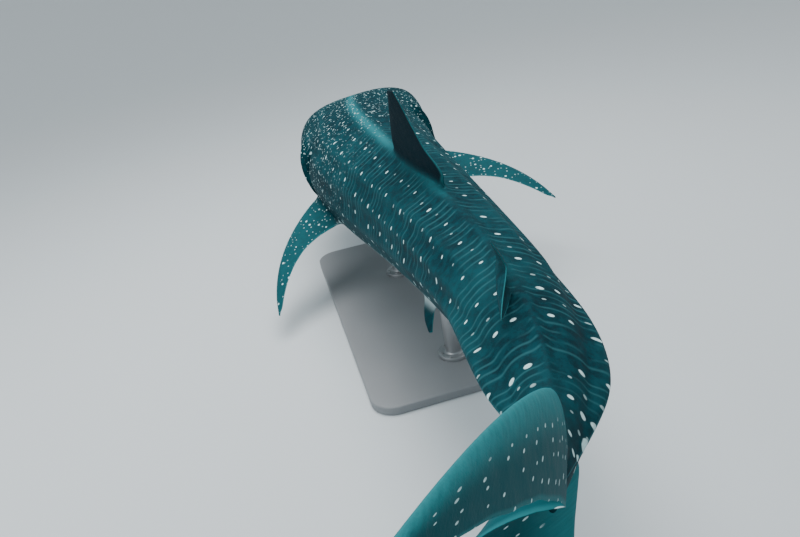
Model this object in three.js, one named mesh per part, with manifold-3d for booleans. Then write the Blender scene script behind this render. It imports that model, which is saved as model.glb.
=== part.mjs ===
// A life-size whale shark on a plain display stand, in millimetres, +Z up.
// The shark faces -Y. The origin is the middle of the stand base's underside.
// Lengths marked "share" are shares of the shark's total length, and s runs from
// 0 at the snout to 1 at the tip of the tail along the backbone.
import * as THREE from "three";
import { mergeVertices } from "three/addons/utils/BufferGeometryUtils.js";
import Module from "manifold-3d";

const wasm = await Module();
wasm.setup();

// Driving dimensions
const totalLength = 6000;
const gap = 0.3;
const bodyHeight = 830; // backbone above the floor at the first dorsal fin
const dorsalStation = 0.45; // the station that stands over the origin's line
const dorsalOffset = { x: -40, y: 700 }; // where that station is over the base

// The pose: heading, pitch and bank of the backbone at eight stations, in degrees.
const pose = {
  at: [0, 0.15, 0.3, 0.45, 0.55, 0.65, 0.75, 0.85],
  yaw: [-12.5, -6.4, 1.5, 0, -2.7, -5, -15.1, -33.2],
  pitch: [5.3, 2.2, -1, -4.3, -7, -6.4, -4.1, -2.1],
  bank: [6.5, 9, 10, 9.1, 5, 1.7, -1.2, -4.9],
};

// The body's half width, height above and depth below the backbone, as shares.
const outline = {
  at: [
    0, 0.004, 0.012, 0.03, 0.06, 0.1, 0.15, 0.2, 0.25, 0.32,
    0.4, 0.48, 0.56, 0.64, 0.7, 0.75, 0.79, 0.81, 0.828,
  ],
  side: [
    0.03, 0.05, 0.0645, 0.0745, 0.081, 0.084, 0.083, 0.0776, 0.0722, 0.0635,
    0.0545, 0.047, 0.0405, 0.0348, 0.03, 0.0228, 0.0142, 0.009, 0.0035,
  ],
  over: [
    0.008, 0.017, 0.0255, 0.035, 0.0463, 0.0548, 0.061, 0.0644, 0.0665, 0.0655,
    0.0594, 0.0508, 0.0424, 0.0337, 0.0266, 0.021, 0.0176, 0.016, 0.0135,
  ],
  under: [
    0.008, 0.0165, 0.0245, 0.0325, 0.04, 0.0486, 0.0569, 0.0624, 0.0656, 0.0645,
    0.0585, 0.05, 0.0415, 0.0317, 0.0255, 0.021, 0.0176, 0.016, 0.0135,
  ],
};

// Long ridges on the back and flanks: angle from the back's midline, where each
// starts and ends, its height as a share, and how sharply it stands.
const ridges = [
  { angle: 0, from: 0.13, to: 0.8, height: 0.0032, wide: 6 },
  { angle: 37.5, from: 0.16, to: 0.66, height: 0.0026, wide: 6 },
  { angle: 60, from: 0.2, to: 0.7, height: 0.0026, wide: 6 },
  { angle: 82.5, from: 0.26, to: 0.8, height: 0.003, wide: 6.5 },
];
const keel = { angle: 90, from: 0.62, peak: 0.76, to: 0.822, height: 0.0075, wide: 9 };

// Gill flaps: five on each side, each rising towards its rear edge, with a slit behind.
const gills = {
  first: 0.148, step: 0.014, count: 5, lift: 0.0026, deep: 0.0022,
  from: 50, to: 128, edge: 0.0006, hollow: 0.0035,
};

const stations = { head: 0.128, gills: 0.226, trunk: 0.4, flank: 0.6, end: 0.828 };
const around = 48;
const spacing = { snout: 14, snoutEase: 1.8, gills: 0.0125, trunk: 0.02, tail: 0.0155 };

const degrees = Math.PI / 180;
const clamp = (x, low, high) => Math.min(high, Math.max(low, x));
const smooth = (x) => {
  const t = clamp(x, 0, 1);
  return t * t * (3 - 2 * t);
};

// A natural cubic spline through the points, as a function.
function spline(xs, ys) {
  const n = xs.length;
  const h = xs.slice(1).map((x, i) => x - xs[i]);
  const slope = h.map((d, i) => (ys[i + 1] - ys[i]) / d);
  const diagonal = [1];
  const upper = [0];
  const right = [0];
  for (let i = 1; i < n - 1; i++) {
    const d = 2 * (h[i - 1] + h[i]) - h[i - 1] * upper[i - 1];
    diagonal.push(d);
    upper.push(h[i] / d);
    right.push((6 * (slope[i] - slope[i - 1]) - h[i - 1] * right[i - 1]) / d);
  }
  const second = new Array(n).fill(0);
  for (let i = n - 2; i > 0; i--) second[i] = right[i] - upper[i] * second[i + 1];
  return (x) => {
    let i = 0;
    while (i < n - 2 && x > xs[i + 1]) i++;
    const a = (xs[i + 1] - x) / h[i];
    const b = 1 - a;
    const bend = ((a ** 3 - a) * second[i] + (b ** 3 - b) * second[i + 1]) * (h[i] ** 2 / 6);
    return a * ys[i] + b * ys[i + 1] + bend;
  };
}

// A curve through the points that never overshoots them, as a function.
function profile(xs, ys) {
  const n = xs.length;
  const h = xs.slice(1).map((x, i) => x - xs[i]);
  const d = h.map((w, i) => (ys[i + 1] - ys[i]) / w);
  const m = ys.map((_, i) => {
    if (i === 0) return d[0];
    if (i === n - 1) return d[n - 2];
    if (d[i - 1] * d[i] <= 0) return 0;
    const w1 = 2 * h[i] + h[i - 1];
    const w2 = h[i] + 2 * h[i - 1];
    return (w1 + w2) / (w1 / d[i - 1] + w2 / d[i]);
  });
  return (x) => {
    const c = clamp(x, xs[0], xs[n - 1]);
    let i = 0;
    while (i < n - 2 && c > xs[i + 1]) i++;
    const t = (c - xs[i]) / h[i];
    const t2 = t * t;
    const t3 = t2 * t;
    return (2 * t3 - 3 * t2 + 1) * ys[i] + (t3 - 2 * t2 + t) * h[i] * m[i]
      + (3 * t2 - 2 * t3) * ys[i + 1] + (t3 - t2) * h[i] * m[i + 1];
  };
}

// The backbone: place and direction at every station.
const yawAt = spline(pose.at, pose.yaw);
const pitchAt = spline(pose.at, pose.pitch);
const bankAt = spline(pose.at, pose.bank);

function headingAt(s) {
  const yaw = yawAt(s) * degrees;
  const pitch = pitchAt(s) * degrees;
  return new THREE.Vector3(
    Math.sin(yaw) * Math.cos(pitch),
    -Math.cos(yaw) * Math.cos(pitch),
    Math.sin(pitch),
  );
}

const backboneStep = 0.002;
const backbone = [new THREE.Vector3()];
for (let i = 1; i * backboneStep <= 0.9; i++) {
  const middle = headingAt((i - 0.5) * backboneStep);
  backbone.push(backbone[i - 1].clone().addScaledVector(middle, -backboneStep * totalLength));
}

function alongBackbone(s) {
  const i = clamp(Math.floor(s / backboneStep), 0, backbone.length - 2);
  return backbone[i].clone().lerp(backbone[i + 1], s / backboneStep - i);
}

const dorsalPlace = new THREE.Vector3(dorsalOffset.x, dorsalOffset.y, bodyHeight);
const shift = dorsalPlace.clone().sub(alongBackbone(dorsalStation));

// The frame at a station: centre, heading, up and left.
function frameAt(s) {
  const heading = headingAt(s);
  const up = new THREE.Vector3(0, 0, 1).addScaledVector(heading, -heading.z).normalize();
  const right = new THREE.Vector3().crossVectors(heading, up);
  const bank = bankAt(s) * degrees;
  const leaned = up.clone().multiplyScalar(Math.cos(bank)).addScaledVector(right, -Math.sin(bank));
  return {
    centre: alongBackbone(s).add(shift),
    heading,
    up: leaned,
    left: new THREE.Vector3().crossVectors(leaned, heading),
  };
}

const sideAt = profile(outline.at, outline.side);
const overAt = profile(outline.at, outline.over);
const underAt = profile(outline.at, outline.under);

const bell = (x, wide) => Math.exp(-0.5 * (x / wide) ** 2);

// How far the skin stands off the plain section at station s and angle a (degrees).
function relief(s, a) {
  const angle = Math.abs(a > 180 ? a - 360 : a);
  let out = 0;
  for (const ridge of ridges) {
    const fade = smooth((s - ridge.from) / 0.06) * smooth((ridge.to - s) / 0.06);
    out += ridge.height * fade * bell(angle - ridge.angle, ridge.wide);
  }
  const rise = smooth((s - keel.from) / (keel.peak - keel.from));
  const fall = smooth((keel.to - s) / (keel.to - keel.peak));
  out += keel.height * rise * fall * bell(angle - keel.angle, keel.wide);
  const reach = smooth((angle - gills.from) / 12) * smooth((gills.to - angle) / 12);
  for (let i = 0; i < gills.count; i++) {
    const slit = gills.first + i * gills.step;
    const rise = (s - slit + gills.step) / (gills.step - gills.edge);
    if (rise > 0 && s < slit - gills.edge / 2) out += gills.lift * rise ** 1.4 * reach;
    const sunk = 1 - (s - slit) / gills.hollow;
    if (s >= slit - gills.edge / 2 && sunk > 0) out -= gills.deep * sunk * reach;
  }
  return out;
}

// A point of the skin: a is the angle from the back's midline towards the left flank.
function skinPoint(s, a, grow = 0) {
  const f = frameAt(s);
  const flat = 2 + 0.9 * smooth((0.16 - s) / 0.14); // the head is squarer than the trunk
  const c = Math.cos(a * degrees);
  const n = Math.sin(a * degrees);
  const out = relief(s, a) * totalLength + grow;
  const wide = sideAt(s) * totalLength;
  const high = (c > 0 ? overAt(s) : underAt(s)) * totalLength;
  const x = wide * Math.sign(n) * Math.abs(n) ** (2 / flat) + out * n;
  const z = high * Math.sign(c) * Math.abs(c) ** (2 / flat) + out * c;
  return f.centre.clone().addScaledVector(f.left, x).addScaledVector(f.up, z);
}

// A closed surface through rings of points that all run the same way round. A thin
// blade is split alike on both faces, so that they never cross.
function loft(rings, thin = false) {
  const n = rings[0].length;
  const points = rings.flat().concat([middleOf(rings[0]), middleOf(rings[rings.length - 1])]);
  const first = rings.length * n;
  const faces = [];
  for (let i = 0; i < n; i++) {
    const j = (i + 1) % n;
    const turned = thin && i >= n / 2;
    for (let k = 0; k < rings.length - 1; k++) {
      const a = k * n;
      if (turned) faces.push(a + i, a + j, a + n + i, a + j, a + n + j, a + n + i);
      else faces.push(a + i, a + j, a + n + j, a + i, a + n + j, a + n + i);
    }
    const last = (rings.length - 1) * n;
    faces.push(first, j, i, first + 1, last + i, last + j);
  }
  return facingOut(points, faces);
}

function middleOf(ring) {
  const sum = ring.reduce((t, p) => t.add(p), new THREE.Vector3());
  return sum.divideScalar(ring.length);
}

function facingOut(points, faces) {
  let volume = 0;
  const cross = new THREE.Vector3();
  for (let i = 0; i < faces.length; i += 3) {
    const [a, b, c] = [points[faces[i]], points[faces[i + 1]], points[faces[i + 2]]];
    volume += a.dot(cross.crossVectors(b, c));
  }
  if (volume < 0) {
    for (let i = 0; i < faces.length; i += 3) [faces[i + 1], faces[i + 2]] = [faces[i + 2], faces[i + 1]];
  }
  const geometry = new THREE.BufferGeometry().setFromPoints(points);
  geometry.setIndex(faces);
  return geometry;
}

function solidOf(geometry) {
  const bare = geometry.clone();
  bare.deleteAttribute("normal");
  bare.deleteAttribute("uv");
  const merged = mergeVertices(bare, 1e-3);
  return new wasm.Manifold(new wasm.Mesh({
    numProp: 3,
    vertProperties: merged.attributes.position.array,
    triVerts: new Uint32Array(merged.index.array),
  }));
}

// The largest closed piece of a solid, as a geometry.
function geometryOf(solid) {
  const pieces = solid.decompose().sort((a, b) => b.volume() - a.volume());
  const mesh = pieces[0].getMesh();
  const n = mesh.numProp;
  const position = new Float32Array(mesh.numVert * 3);
  for (let i = 0; i < mesh.numVert; i++) {
    position.set(mesh.vertProperties.subarray(i * n, i * n + 3), i * 3);
  }
  const geometry = new THREE.BufferGeometry();
  geometry.setAttribute("position", new THREE.BufferAttribute(position, 3));
  geometry.setIndex(new THREE.BufferAttribute(mesh.triVerts, 1));
  return geometry;
}

// The stations of the whole body, closer together at the snout and where the gill
// flaps step, with a thin cut where one length ends and the next begins.
const cut = gap / totalLength;

function everyStation() {
  const list = [];
  for (let i = 0; i <= spacing.snout; i++) {
    list.push(stations.head * (i / spacing.snout) ** spacing.snoutEase);
  }
  const spread = (from, to, step) => {
    const count = Math.round((to - from) / step);
    list.push(from + cut);
    for (let i = 1; i <= count; i++) list.push(from + ((to - from) * i) / count);
  };
  spread(stations.head, stations.gills, spacing.gills);
  for (let i = 0; i < gills.count; i++) {
    const slit = gills.first + i * gills.step;
    for (let k = list.length - 1; k >= 0; k--) {
      const near = Math.abs(list[k] - slit) < gills.step * 0.35;
      if (near && list[k] > stations.head + 2 * cut) list.splice(k, 1);
    }
    list.push(slit - gills.edge, slit, slit + gills.hollow);
  }
  spread(stations.gills, stations.trunk, spacing.trunk);
  spread(stations.trunk, stations.flank, spacing.trunk);
  spread(stations.flank, stations.end, spacing.tail);
  return list.sort((a, b) => a - b);
}

const allStations = everyStation();

function bodyLength(from, to, grow = 0) {
  const list = allStations.filter((s) => s >= from - 1e-9 && s <= to + 1e-9);
  if (grow > 0) list.push(to + 1.5 * cut);
  const rings = list.map((s) => {
    const ring = [];
    for (let i = 0; i < around; i++) ring.push(skinPoint(s, (i * 360) / around, grow));
    return ring;
  });
  return loft(rings);
}

// A blade: spans stations v from 0 at the root to 1 at the tip. edge(v) gives the
// leading and trailing points, face(v) the way its thickness lies, thick(v) its
// greatest thickness.
function blade({ spans, edge, face, thick, chordSteps = 7 }) {
  const rings = spans.map((v) => {
    const { lead, trail } = edge(v);
    const normal = face(v);
    const t = thick(v);
    const ring = [];
    const point = (i, half) => bladePoint(lead, trail, normal, i / chordSteps, half);
    for (let i = 0; i <= chordSteps; i++) ring.push(point(i, t / 2));
    for (let i = chordSteps - 1; i > 0; i--) ring.push(point(i, -t / 2));
    return ring;
  });
  return loft(rings, true);
}

const trailingEdge = 3; // least half thickness of a fin towards its rear edge

function bladePoint(lead, trail, normal, along, half) {
  const c = 0.5 - 0.5 * Math.cos(Math.PI * along);
  const full = Math.sqrt(clamp(c, 0, 1)) * (1 - c) * 2.6 * half;
  const least = Math.sign(half) * trailingEdge * Math.sin(Math.PI * along) ** 0.5;
  const off = Math.abs(full) > Math.abs(least) ? full : least;
  return lead.clone().lerp(trail, c).addScaledVector(normal, off || 0);
}

const spansTo = (count, ease = 0.8) => {
  const list = [];
  for (let i = 0; i <= count; i++) list.push((1 - (1 - i / count) ** (1 / ease)) * 0.995);
  return list;
};

// An upright fin on the back or belly. side is 1 for the back and -1 for the belly. turn
// swings the whole fin's rear to the right, in degrees, and swing its free rear tip to
// the left.
function uprightFin({
  from, to, height, sweep, rear, side, thickness, lean = 0, swing = 0, turn = 0, tip = 0.02,
  hook = 0.25, hollow = 0.14, spans = 10,
}) {
  const root = (s) => {
    const f = frameAt(s);
    const depth = (side > 0 ? overAt(s) : underAt(s)) * totalLength;
    return f.centre.clone().addScaledVector(f.up, side * depth * 0.6);
  };
  const base = frameAt((from + to) / 2);
  const rise = base.up.clone().multiplyScalar(side);
  const upright = new THREE.Vector3().copy(base.up);
  const back = base.heading.clone().negate().applyAxisAngle(upright, turn * degrees);
  const face = base.left.clone().applyAxisAngle(upright, turn * degrees);
  const depth = (side > 0 ? overAt(from) : underAt(from)) * totalLength * 0.4;
  const tall = height * totalLength + depth;
  const chord = (to - from) * totalLength;
  const start = root(from);
  return blade({
    spans: spansTo(spans),
    chordSteps: 7,
    thick: (v) => thickness * (1 - 0.8 * v),
    face: () => face,
    edge: (v) => {
      const up = v * tall;
      const leadBack = sweep * totalLength * (v + hook * v * v) / (1 + hook);
      const tipBack = sweep * totalLength + tip * chord;
      const low = smooth((v - depth / tall) / 0.22);
      const loose = smooth((v - depth / tall + 0.16) / 0.16) * (1 - low);
      const flap = rear * totalLength * loose;
      const trailLine = chord + (tipBack - chord) * v ** 0.8;
      const curve = -hollow * chord * Math.sin(Math.PI * v ** 0.7);
      const trailBack = Math.max(trailLine + curve + flap, leadBack + 4);
      const drift = face.clone().multiplyScalar(lean * tall * v * v);
      const at = (b) => start.clone().addScaledVector(back, b).addScaledVector(rise, up).add(drift);
      return { lead: at(leadBack), trail: at(trailBack).addScaledVector(face, swing * loose) };
    },
  });
}

// A paired fin, sprung from the lower flank at angle a. side is 1 on the left.
function pairedFin({
  at, angle, side, span, chord, droop, curl, sweep, sweepMore, incidence, thickness,
  spans = 12, tipChord = 0.06, rake = 0.12,
}) {
  const f = frameAt(at);
  const root = skinPoint(at, side > 0 ? angle : 360 - angle);
  const centre = f.centre;
  const inwards = centre.clone().sub(root).multiplyScalar(0.35);
  const out = f.left.clone().multiplyScalar(side);
  const back = f.heading.clone().negate();
  const steps = 40;
  const line = [root.clone().add(inwards)];
  const lowAt = (v) => (droop + curl * v ** 1.4) * degrees;
  const sweepAt = (v) => (sweep + sweepMore * v) * degrees;
  const whole = span * totalLength + inwards.length();
  const buried = inwards.length() / whole;
  for (let i = 0; i < steps; i++) {
    const v = clamp(((i + 0.5) / steps - buried) / (1 - buried), 0, 1);
    const way = out.clone().multiplyScalar(Math.cos(lowAt(v)) * Math.cos(sweepAt(v)))
      .addScaledVector(f.up, -Math.sin(lowAt(v)) * Math.cos(sweepAt(v)))
      .addScaledVector(back, Math.sin(sweepAt(v)));
    line.push(line[i].clone().addScaledVector(way, whole / steps));
  }
  const place = (v) => {
    const i = clamp(Math.floor(v * steps), 0, steps - 1);
    return line[i].clone().lerp(line[i + 1], v * steps - i);
  };
  const faceAt = (v) => {
    const low = lowAt(v);
    return out.clone().multiplyScalar(Math.sin(low)).addScaledVector(f.up, Math.cos(low))
      .addScaledVector(back, Math.sin(incidence * degrees)).normalize();
  };
  return blade({
    spans: spansTo(spans, 0.9),
    chordSteps: 7,
    thick: (v) => thickness * (1 - 0.85 * v),
    face: faceAt,
    edge: (v) => {
      const fall = (1 - v) ** 0.75 * (1 - 0.35 * Math.sin(Math.PI * v));
      const width = chord * totalLength * (tipChord + (1 - tipChord) * fall);
      const wide = width * (0.35 + 0.65 * smooth((1 - v) / 0.1));
      const lay = back.clone().addScaledVector(faceAt(v), -back.dot(faceAt(v))).normalize();
      const lead = place(v).addScaledVector(lay, -wide * 0.4 + rake * totalLength * 0.1 * v * v);
      return { lead, trail: lead.clone().addScaledVector(lay, wide) };
    },
  });
}

// The tail fin: one crescent on a bent and twisted plane, parted into an upper and a
// lower lobe along a line that runs from inside the tail stock to the fork. Places on
// it are shares of the total length: b backwards and z upwards from its station. The
// water bends the lower lobe: forward and flare push its leading edge to the right and
// its trailing edge to the left, and sway its tip to the left.
const caudal = {
  at: 0.793, yaw: -21, bend: 65, pitch: -3.9, bank: -1, twist: 102,
  start: { b: -0.03, z: 0 }, fork: { b: 0.06, z: 0.011 },
  upper: { long: 0.239, angle: 35, bow: 0.022, hollow: 0.01, forward: 0, flare: 0, sway: 0 },
  lower: { long: 0.128, angle: -60, bow: 0.06, hollow: 0.03, forward: 0.015, flare: 0.05, sway: 0.016 },
  thickness: 60,
};

const caudalStep = 0.002;
const caudalFrom = -0.04;
const caudalLine = [];
{
  let place = new THREE.Vector3();
  for (let b = caudalFrom; b < 0.3; b += caudalStep) {
    const yaw = (caudal.yaw + caudal.bend * Math.max(b, 0)) * degrees;
    const pitch = caudal.pitch * degrees;
    const bank = (caudal.bank + caudal.twist * Math.max(b, 0)) * degrees;
    const heading = new THREE.Vector3(
      Math.sin(yaw) * Math.cos(pitch),
      -Math.cos(yaw) * Math.cos(pitch),
      Math.sin(pitch),
    );
    const up = new THREE.Vector3(0, 0, 1).addScaledVector(heading, -heading.z).normalize();
    const right = new THREE.Vector3().crossVectors(heading, up);
    up.multiplyScalar(Math.cos(bank)).addScaledVector(right, -Math.sin(bank));
    caudalLine.push({ place: place.clone(), up });
    place = place.clone().addScaledVector(heading, -caudalStep * totalLength);
  }
  const root = caudalLine[Math.round(-caudalFrom / caudalStep)].place.clone();
  for (const row of caudalLine) row.place.sub(root).add(frameAt(caudal.at).centre);
}

function onCaudal(b, z) {
  const steps = (b - caudalFrom) / caudalStep;
  const i = clamp(Math.floor(steps), 0, caudalLine.length - 2);
  const place = caudalLine[i].place.clone().lerp(caudalLine[i + 1].place, steps - i);
  const up = caudalLine[i].up.clone().lerp(caudalLine[i + 1].up, steps - i);
  return place.addScaledVector(up, z * totalLength);
}

function caudalLobe(lobe, side) {
  const angle = lobe.angle * degrees;
  const split = side * (gap / 2 / totalLength);
  const { start, fork } = caudal;
  const tip = { b: lobe.long * Math.cos(angle), z: lobe.long * Math.sin(angle) };
  const off = { b: -Math.sin(angle) * side * lobe.long, z: Math.cos(angle) * side * lobe.long };
  const left = frameAt(caudal.at).left;
  const edge = (v) => {
    const arch = 4 * v * (1 - v);
    const swayed = lobe.sway * v * v;
    const pushed = lobe.forward * smooth(v / 0.25) * (1 - v);
    const flared = lobe.flare * Math.sin(Math.PI * v ** 0.7);
    const lead = onCaudal(
      start.b + (tip.b - start.b) * v + off.b * lobe.bow * arch,
      start.z + split + (tip.z - start.z) * v + off.z * lobe.bow * arch,
    );
    const trail = onCaudal(
      fork.b + (tip.b + 0.004 - fork.b) * v + off.b * lobe.hollow * arch,
      fork.z + split + (tip.z - fork.z) * v + off.z * lobe.hollow * arch,
    );
    lead.addScaledVector(left, (swayed - pushed) * totalLength);
    trail.addScaledVector(left, (swayed + flared) * totalLength);
    return { lead, trail };
  };
  const middle = (v) => {
    const { lead, trail } = edge(v);
    return lead.clone().lerp(trail, 0.5);
  };
  const rootChord = onCaudal(fork.b, fork.z).sub(onCaudal(start.b, start.z));
  const rootFace = rootChord.cross(caudalLine[0].up).normalize();
  return blade({
    spans: spansTo(15, 0.9),
    chordSteps: 7,
    thick: (v) => caudal.thickness * (1 - 0.84 * v ** 0.8),
    edge,
    face: (v) => {
      const { lead, trail } = edge(v);
      const along = middle(Math.min(v + 0.02, 1)).sub(middle(Math.max(v - 0.02, 0)));
      const face = new THREE.Vector3().crossVectors(trail.clone().sub(lead), along).normalize();
      if (face.dot(rootFace) < 0) face.negate();
      return rootFace.clone().lerp(face, smooth(v / 0.2)).normalize();
    },
  });
}

// Materials
const paint = (hex, roughness) => new THREE.MeshStandardMaterial({ color: hex, roughness, metalness: 0 });
const hide = paint(0x24424c, 0.55);
const finHide = paint(0x1f3b45, 0.55);
const eyeDark = paint(0x0a0c0e, 0.15);
const standMetal = new THREE.MeshStandardMaterial({ color: 0x9a9da0, roughness: 0.4, metalness: 1 });
const standPaint = paint(0x4a4d50, 0.6);

const shark = new THREE.Group();
function addPart(name, geometry, material) {
  const mesh = new THREE.Mesh(geometry, material);
  mesh.name = name;
  shark.add(mesh);
}

// The whole body a little larger, which cuts the roots of what touches it.
const clearBody = solidOf(bodyLength(0, stations.end, gap));
const cutClear = (geometry) => geometryOf(solidOf(geometry).subtract(clearBody));

// Head: the plain length of body with lips, nostrils, eye sockets and spiracles
const outwardAt = (s, a) => {
  const along = skinPoint(s + 0.002, a).sub(skinPoint(s - 0.002, a));
  const round = skinPoint(s, a + 1.5).sub(skinPoint(s, a - 1.5));
  const out = new THREE.Vector3().crossVectors(along, round).normalize();
  const middle = skinPoint(s, a).sub(frameAt(s).centre);
  return out.dot(middle) < 0 ? out.negate() : out;
};

// A tube along a path, with half sizes across(t) outwards and tall(t) upwards.
function tube(path, across, tall, around = 6) {
  const rings = path.map((point, i) => {
    const t = i / (path.length - 1);
    const ring = [];
    for (let k = 0; k < around; k++) {
      const turn = (k * 2 * Math.PI) / around;
      ring.push(point.at.clone()
        .addScaledVector(point.out, Math.cos(turn) * across(t))
        .addScaledVector(point.up, Math.sin(turn) * tall(t)));
    }
    return ring;
  });
  return loft(rings);
}

const mouth = { angle: 101, corner: 0.037, drop: 9, lip: 19, slit: 6, deep: 30, steps: 9 };

// The line of the mouth from the left corner round the snout to the right corner.
function mouthLine(lift) {
  const path = [];
  const flank = (side, i) => {
    const s = mouth.corner * (i / mouth.steps) ** 1.7;
    const fall = mouth.drop * (s / mouth.corner) ** 2;
    const a = side > 0 ? mouth.angle + fall : 360 - mouth.angle - fall;
    const f = frameAt(s);
    const out = outwardAt(Math.max(s, 0.003), a);
    return { at: skinPoint(s, a).addScaledVector(f.up, lift), out, up: f.up };
  };
  for (let i = mouth.steps; i >= 0; i--) path.push(flank(1, i));
  const [l, r] = [flank(1, 0), flank(-1, 0)];
  const ahead = frameAt(0).heading;
  for (const t of [0.12, 0.3, 0.5, 0.7, 0.88]) {
    path.push({ at: l.at.clone().lerp(r.at, t), out: ahead, up: l.up });
  }
  for (let i = 0; i <= mouth.steps; i++) path.push(flank(-1, i));
  return path;
}

const toCorners = (t) => Math.sin(Math.PI * clamp(t, 0.002, 0.998)) ** 0.35;
const eye = { at: 0.055, angle: 92, radius: 32, proud: 12, lid: 8 };
const nostril = { at: 0.0055, angle: 80, radius: 13, barbel: 40 };
const spiracle = { at: 0.079, angle: 88, radius: 15 };

const ball = (radius, centre, wide = 16, high = 10) => {
  const geometry = new THREE.SphereGeometry(radius, wide, high);
  return geometry.translate(centre.x, centre.y, centre.z);
};

function eyePlace(side) {
  const a = side > 0 ? eye.angle : 360 - eye.angle;
  const out = outwardAt(eye.at, a);
  const surface = skinPoint(eye.at, a);
  return { out, surface, centre: surface.clone().addScaledVector(out, eye.proud - eye.radius) };
}

function headSolid() {
  let solid = solidOf(bodyLength(0, stations.head));
  const lipOff = mouth.slit + mouth.lip * 0.62;
  for (const side of [1, -1]) {
    const lipSize = (t) => mouth.lip * toCorners(t);
    solid = solid.add(solidOf(tube(mouthLine(side * lipOff), lipSize, lipSize)));
  }
  for (const side of [1, -1]) {
    const a = side > 0 ? nostril.angle : 360 - nostril.angle;
    const f = frameAt(nostril.at);
    const root = skinPoint(nostril.at, a);
    const tip = root.clone().addScaledVector(f.heading, nostril.barbel * 0.7)
      .addScaledVector(f.up, -nostril.barbel * 0.75);
    const start = root.clone().addScaledVector(f.heading, -25);
    const rings = [0, 0.35, 0.7, 0.92, 1].map((t) => {
      const middle = start.clone().lerp(tip, t);
      const wide = [13, 12, 9, 6, 2.5][Math.round(t * 4)];
      const ring = [];
      for (let k = 0; k < 8; k++) {
        const turn = (k * Math.PI) / 4;
        ring.push(middle.clone().addScaledVector(f.left, wide * Math.cos(turn))
          .addScaledVector(f.up, wide * 0.7 * Math.sin(turn)));
      }
      return ring;
    });
    solid = solid.add(solidOf(loft(rings)));
    const { out, surface, centre } = eyePlace(side);
    const opening = Math.sqrt(eye.radius ** 2 - (eye.radius - eye.proud) ** 2);
    const rim = new THREE.TorusGeometry(opening + 3, eye.lid, 8, 18);
    rim.applyQuaternion(new THREE.Quaternion().setFromUnitVectors(new THREE.Vector3(0, 0, 1), out));
    rim.translate(surface.x, surface.y, surface.z);
    solid = solid.add(solidOf(rim)).subtract(solidOf(ball(eye.radius + gap, centre)));
    const beside = root.clone().addScaledVector(f.left, side * 16).addScaledVector(f.up, 8);
    solid = solid.subtract(solidOf(ball(nostril.radius, beside, 10, 8)));
    const breath = skinPoint(spiracle.at, side > 0 ? spiracle.angle : 360 - spiracle.angle);
    solid = solid.subtract(solidOf(ball(spiracle.radius, breath, 10, 8)));
  }
  const slit = tube(mouthLine(0), (t) => mouth.deep * toCorners(t), (t) => mouth.slit * toCorners(t));
  return solid.subtract(solidOf(slit));
}

// Body lengths, parted by thin cuts
addPart("head", geometryOf(headSolid()), hide);
addPart("eye_left", ball(eye.radius, eyePlace(1).centre), eyeDark);
addPart("eye_right", ball(eye.radius, eyePlace(-1).centre), eyeDark);
addPart("gill_region", bodyLength(stations.head + cut, stations.gills), hide);
addPart("trunk_front", bodyLength(stations.gills + cut, stations.trunk), hide);
addPart("trunk_rear", bodyLength(stations.trunk + cut, stations.flank), hide);
addPart("tail_stock", bodyLength(stations.flank + cut, stations.end), hide);

// Fins
const firstDorsal = {
  from: 0.378, to: 0.54, height: 0.061, sweep: 0.083, rear: 0.014, side: 1, thickness: 82, lean: 0.045,
  turn: 4, tip: 0.1, hook: 0.36, hollow: 0.04,
};
addPart("dorsal_fin_first", cutClear(uprightFin(firstDorsal)), finHide);
const secondDorsal = {
  from: 0.65, to: 0.698, height: 0.024, sweep: 0.048, rear: 0.05, side: 1, thickness: 34, lean: 0.26,
  swing: 103, turn: -1, tip: 0.065, hollow: 0.05, spans: 13,
};
addPart("dorsal_fin_second", cutClear(uprightFin(secondDorsal)), finHide);
const analFin = {
  from: 0.655, to: 0.692, height: 0.024, sweep: 0.042, rear: 0.018, side: -1, thickness: 30,
};
addPart("anal_fin", cutClear(uprightFin(analFin)), finHide);

const pectoral = { at: 0.22, angle: 114, span: 0.15, chord: 0.1, incidence: 14, thickness: 66 };
const leftPectoral = { ...pectoral, side: 1, droop: 10, curl: 56, sweep: 22, sweepMore: 36 };
const rightPectoral = { ...pectoral, side: -1, droop: 10, curl: 42, sweep: 24, sweepMore: 38 };
addPart("pectoral_fin_left", cutClear(pairedFin(leftPectoral)), finHide);
addPart("pectoral_fin_right", cutClear(pairedFin(rightPectoral)), finHide);
const pelvic = {
  at: 0.52, angle: 132, span: 0.034, chord: 0.052, droop: 34, curl: 10, sweep: 46,
  sweepMore: 20, incidence: 4, thickness: 26, spans: 8, tipChord: 0.25,
};
addPart("pelvic_fin_left", cutClear(pairedFin({ ...pelvic, side: 1 })), finHide);
addPart("pelvic_fin_right", cutClear(pairedFin({ ...pelvic, side: -1 })), finHide);

addPart("tail_fin_upper", cutClear(caudalLobe(caudal.upper, 1)), finHide);
addPart("tail_fin_lower", cutClear(caudalLobe(caudal.lower, -1)), finHide);

// Stand: a flat base and two rods, whose tops are cut to the belly
const base = { wide: 1000, long: 2200, thick: 50, corner: 140, bevel: 10 };
const rod = { radius: 45, front: 0.26, rear: 0.46, foot: 90, footThick: 22 };

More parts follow.
